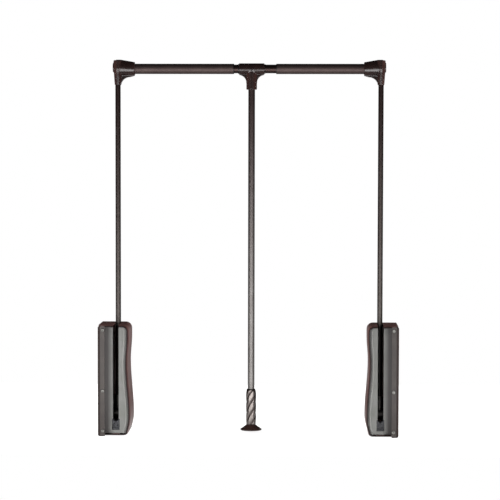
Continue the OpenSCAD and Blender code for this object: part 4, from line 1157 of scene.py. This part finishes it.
low, high = node_box("right_spring")
middle = (low + high) / 2
coil = spring_grid(middle[0], middle[1], low[2], high[2])
coil_faces = skin(coil, False, True)
on_both_sides("coil_spring", "spring", coil.reshape(-1, 3), coil_faces, "wire", 60)
for side, sign in BOTH:
    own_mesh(bpy.data.objects[f"{side}_coil_spring"])

# %% [markdown]
# ## Mechanism
#
# The parts inside the casing have plain turned, cast and pressed shapes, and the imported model
# holds them exactly, so its own nodes stay and only get their finishes.

# %% Finishes of the mechanism
KEPT = {
    "pivot_axle": "plated", "axle_clips": "plated", "spring_guide": "casting", "plunger": "casting",
    "arm_carrier": "casting", "carrier_bushes": "bronze", "crank_roller": "bronze",
    "roller_pin": "plated", "arm_pin": "casting",
}
kept_nodes = {f"{side}_{stem}": finish for side in ("left", "right") for stem, finish in KEPT.items()}
kept_nodes["tube_glides"] = "acetal"
for node, finish in kept_nodes.items():
    for slot in frame["nodes"][node].material_slots:
        slot.material = FINISH[finish]
print(len(kept_nodes), "nodes keep their own shape")

# %% [markdown]
# ## Floor and light
#
# The photograph is a cut-out on white. The floor and the background are white to the camera and
# through glass, and the floor keeps a faint shadow. The floor is a dull card with a glow that only
# such rays find, so it throws little light up at the object. Reflections find the white straight
# behind the object and on the floor close by. Elsewhere they find a dark room, which keeps the
# tubes' edges and the casings' sides dark.
#
# Two low softboxes side by side draw the light along the tubes, which is brighter toward their
# lower ends, and are seen in reflections only. A lamp ahead on the left lights the front faces,
# the left casing more than the right one, and a lamp at each side reaches the casings' inner
# walls. These three are not seen in reflections.

# %% World
def finds_white(tree, mirrored=1.0):
    """1 where a ray is to find white: a camera ray, one through glass, and a reflected one as far
    as mirrored says."""
    ray = add(tree, "LightPath")
    direct = {0: ray.outputs["Is Camera Ray"], 1: ray.outputs["Is Transmission Ray"]}
    glossy = {0: ray.outputs["Is Glossy Ray"], 1: mirrored}
    either = {
        0: add(tree, "Math", direct, operation="MAXIMUM").outputs[0],
        1: add(tree, "Math", glossy, operation="MULTIPLY").outputs[0],
    }
    return add(tree, "Math", either, operation="MAXIMUM").outputs[0], ray


world = bpy.data.worlds.new("studio")
bpy.context.scene.world = world
world.use_nodes = True
tree = world.node_tree
tree.nodes.clear()
direction = add(tree, "SeparateXYZ", {0: add(tree, "TexCoord").outputs["Generated"]})
behind = add(tree, "MapRange", {"Value": direction.outputs["Y"], "From Min": 0.95, "From Max": 0.99})
below = add(tree, "MapRange", {"Value": direction.outputs["Z"], "From Min": 0.06, "From Max": 0.0})
screen = add(
    tree, "Math", {0: behind.outputs["Result"], 1: below.outputs["Result"]}, operation="MULTIPLY"
)
white, ray = finds_white(tree, screen.outputs[0])
room = add(tree, "Mix", {"Factor": ray.outputs["Is Glossy Ray"], 2: 0.16, 3: 0.03})
light = add(tree, "Mix", {"Factor": white, 2: room.outputs[0], 3: 1.0})
sky = add(tree, "Background", {"Color": (1, 1, 1, 1), "Strength": light.outputs[0]})
add(tree, "OutputWorld", {"Surface": sky.outputs[0]})
print("world made")


# %% Lamps
def lamp(name, place, target, width, height, watts, diffuse=True, glossy=True):
    """A soft rectangular lamp at a place, aimed at a target, that the camera doesn't see. It
    gives plain light only where diffuse is set, and shows in reflections only where glossy is."""
    data = bpy.data.lights.new(name, "AREA")
    data.shape, data.size, data.size_y, data.energy = "RECTANGLE", width, height, watts
    body = in_scene(name, data)
    aim = np.array(target, float) - np.array(place, float)
    body.location = place
    body.rotation_euler = (math.acos(-aim[2] / np.linalg.norm(aim)), 0, math.atan2(-aim[0], aim[1]))
    body.visible_camera, body.visible_diffuse, body.visible_glossy = False, diffuse, glossy


lamp("low left softbox", (-0.77, -1.35, 0.03), (-0.77, 0.0, 0.4), 1.27, 0.8, 22, diffuse=False)
lamp("low right softbox", (0.74, -1.35, 0.03), (0.74, 0.0, 0.4), 1.33, 0.8, 23, diffuse=False)
lamp("front lamp", (-0.9, -1.0, 0.35), (-0.1, 0.0, 0.25), 0.7, 0.7, 6.5, glossy=False)
lamp("right side lamp", (2.0, -0.22, 0.5), (-0.37, 0.0, 0.15), 0.8, 0.8, 100, glossy=False)
lamp("left side lamp", (-2.0, -0.22, 0.5), (0.37, 0.0, 0.15), 0.8, 0.8, 80, glossy=False)
print("lamps made")

# %% Floor
material, tree, place = fresh("white_floor")
length = add(tree, "LightPath").outputs["Ray Length"]
near = add(tree, "MapRange", {"Value": length, "From Min": 0.5, "From Max": 0.1})
white, ray = finds_white(tree, near.outputs["Result"])
card = add(tree, "BsdfDiffuse", {"Color": (0.35, 0.35, 0.35, 1)})
glow = add(tree, "Emission", {"Strength": 0.93})
both = add(tree, "AddShader", {0: card.outputs[0], 1: glow.outputs[0]})
mixed = add(tree, "MixShader", {0: white, 1: card.outputs[0], 2: both.outputs[0]})
add(tree, "OutputMaterial", {"Surface": mixed.outputs[0]})
corners = [(-0.8, -0.3, 0), (0.8, -0.3, 0), (0.8, 0.9, 0), (-0.8, 0.9, 0)]
floor_mesh = bpy.data.meshes.new("floor")
floor_mesh.from_pydata(corners, [], [(0, 1, 2, 3)])
floor_mesh.materials.append(material)
in_scene("floor", floor_mesh)
print("floor made")

# %% [markdown]
# ## Colour handling
#
# The picture uses the Standard view, so a colour comes out about as it is written.

# %% Finish
bpy.context.scene.view_settings.view_transform = "Standard"
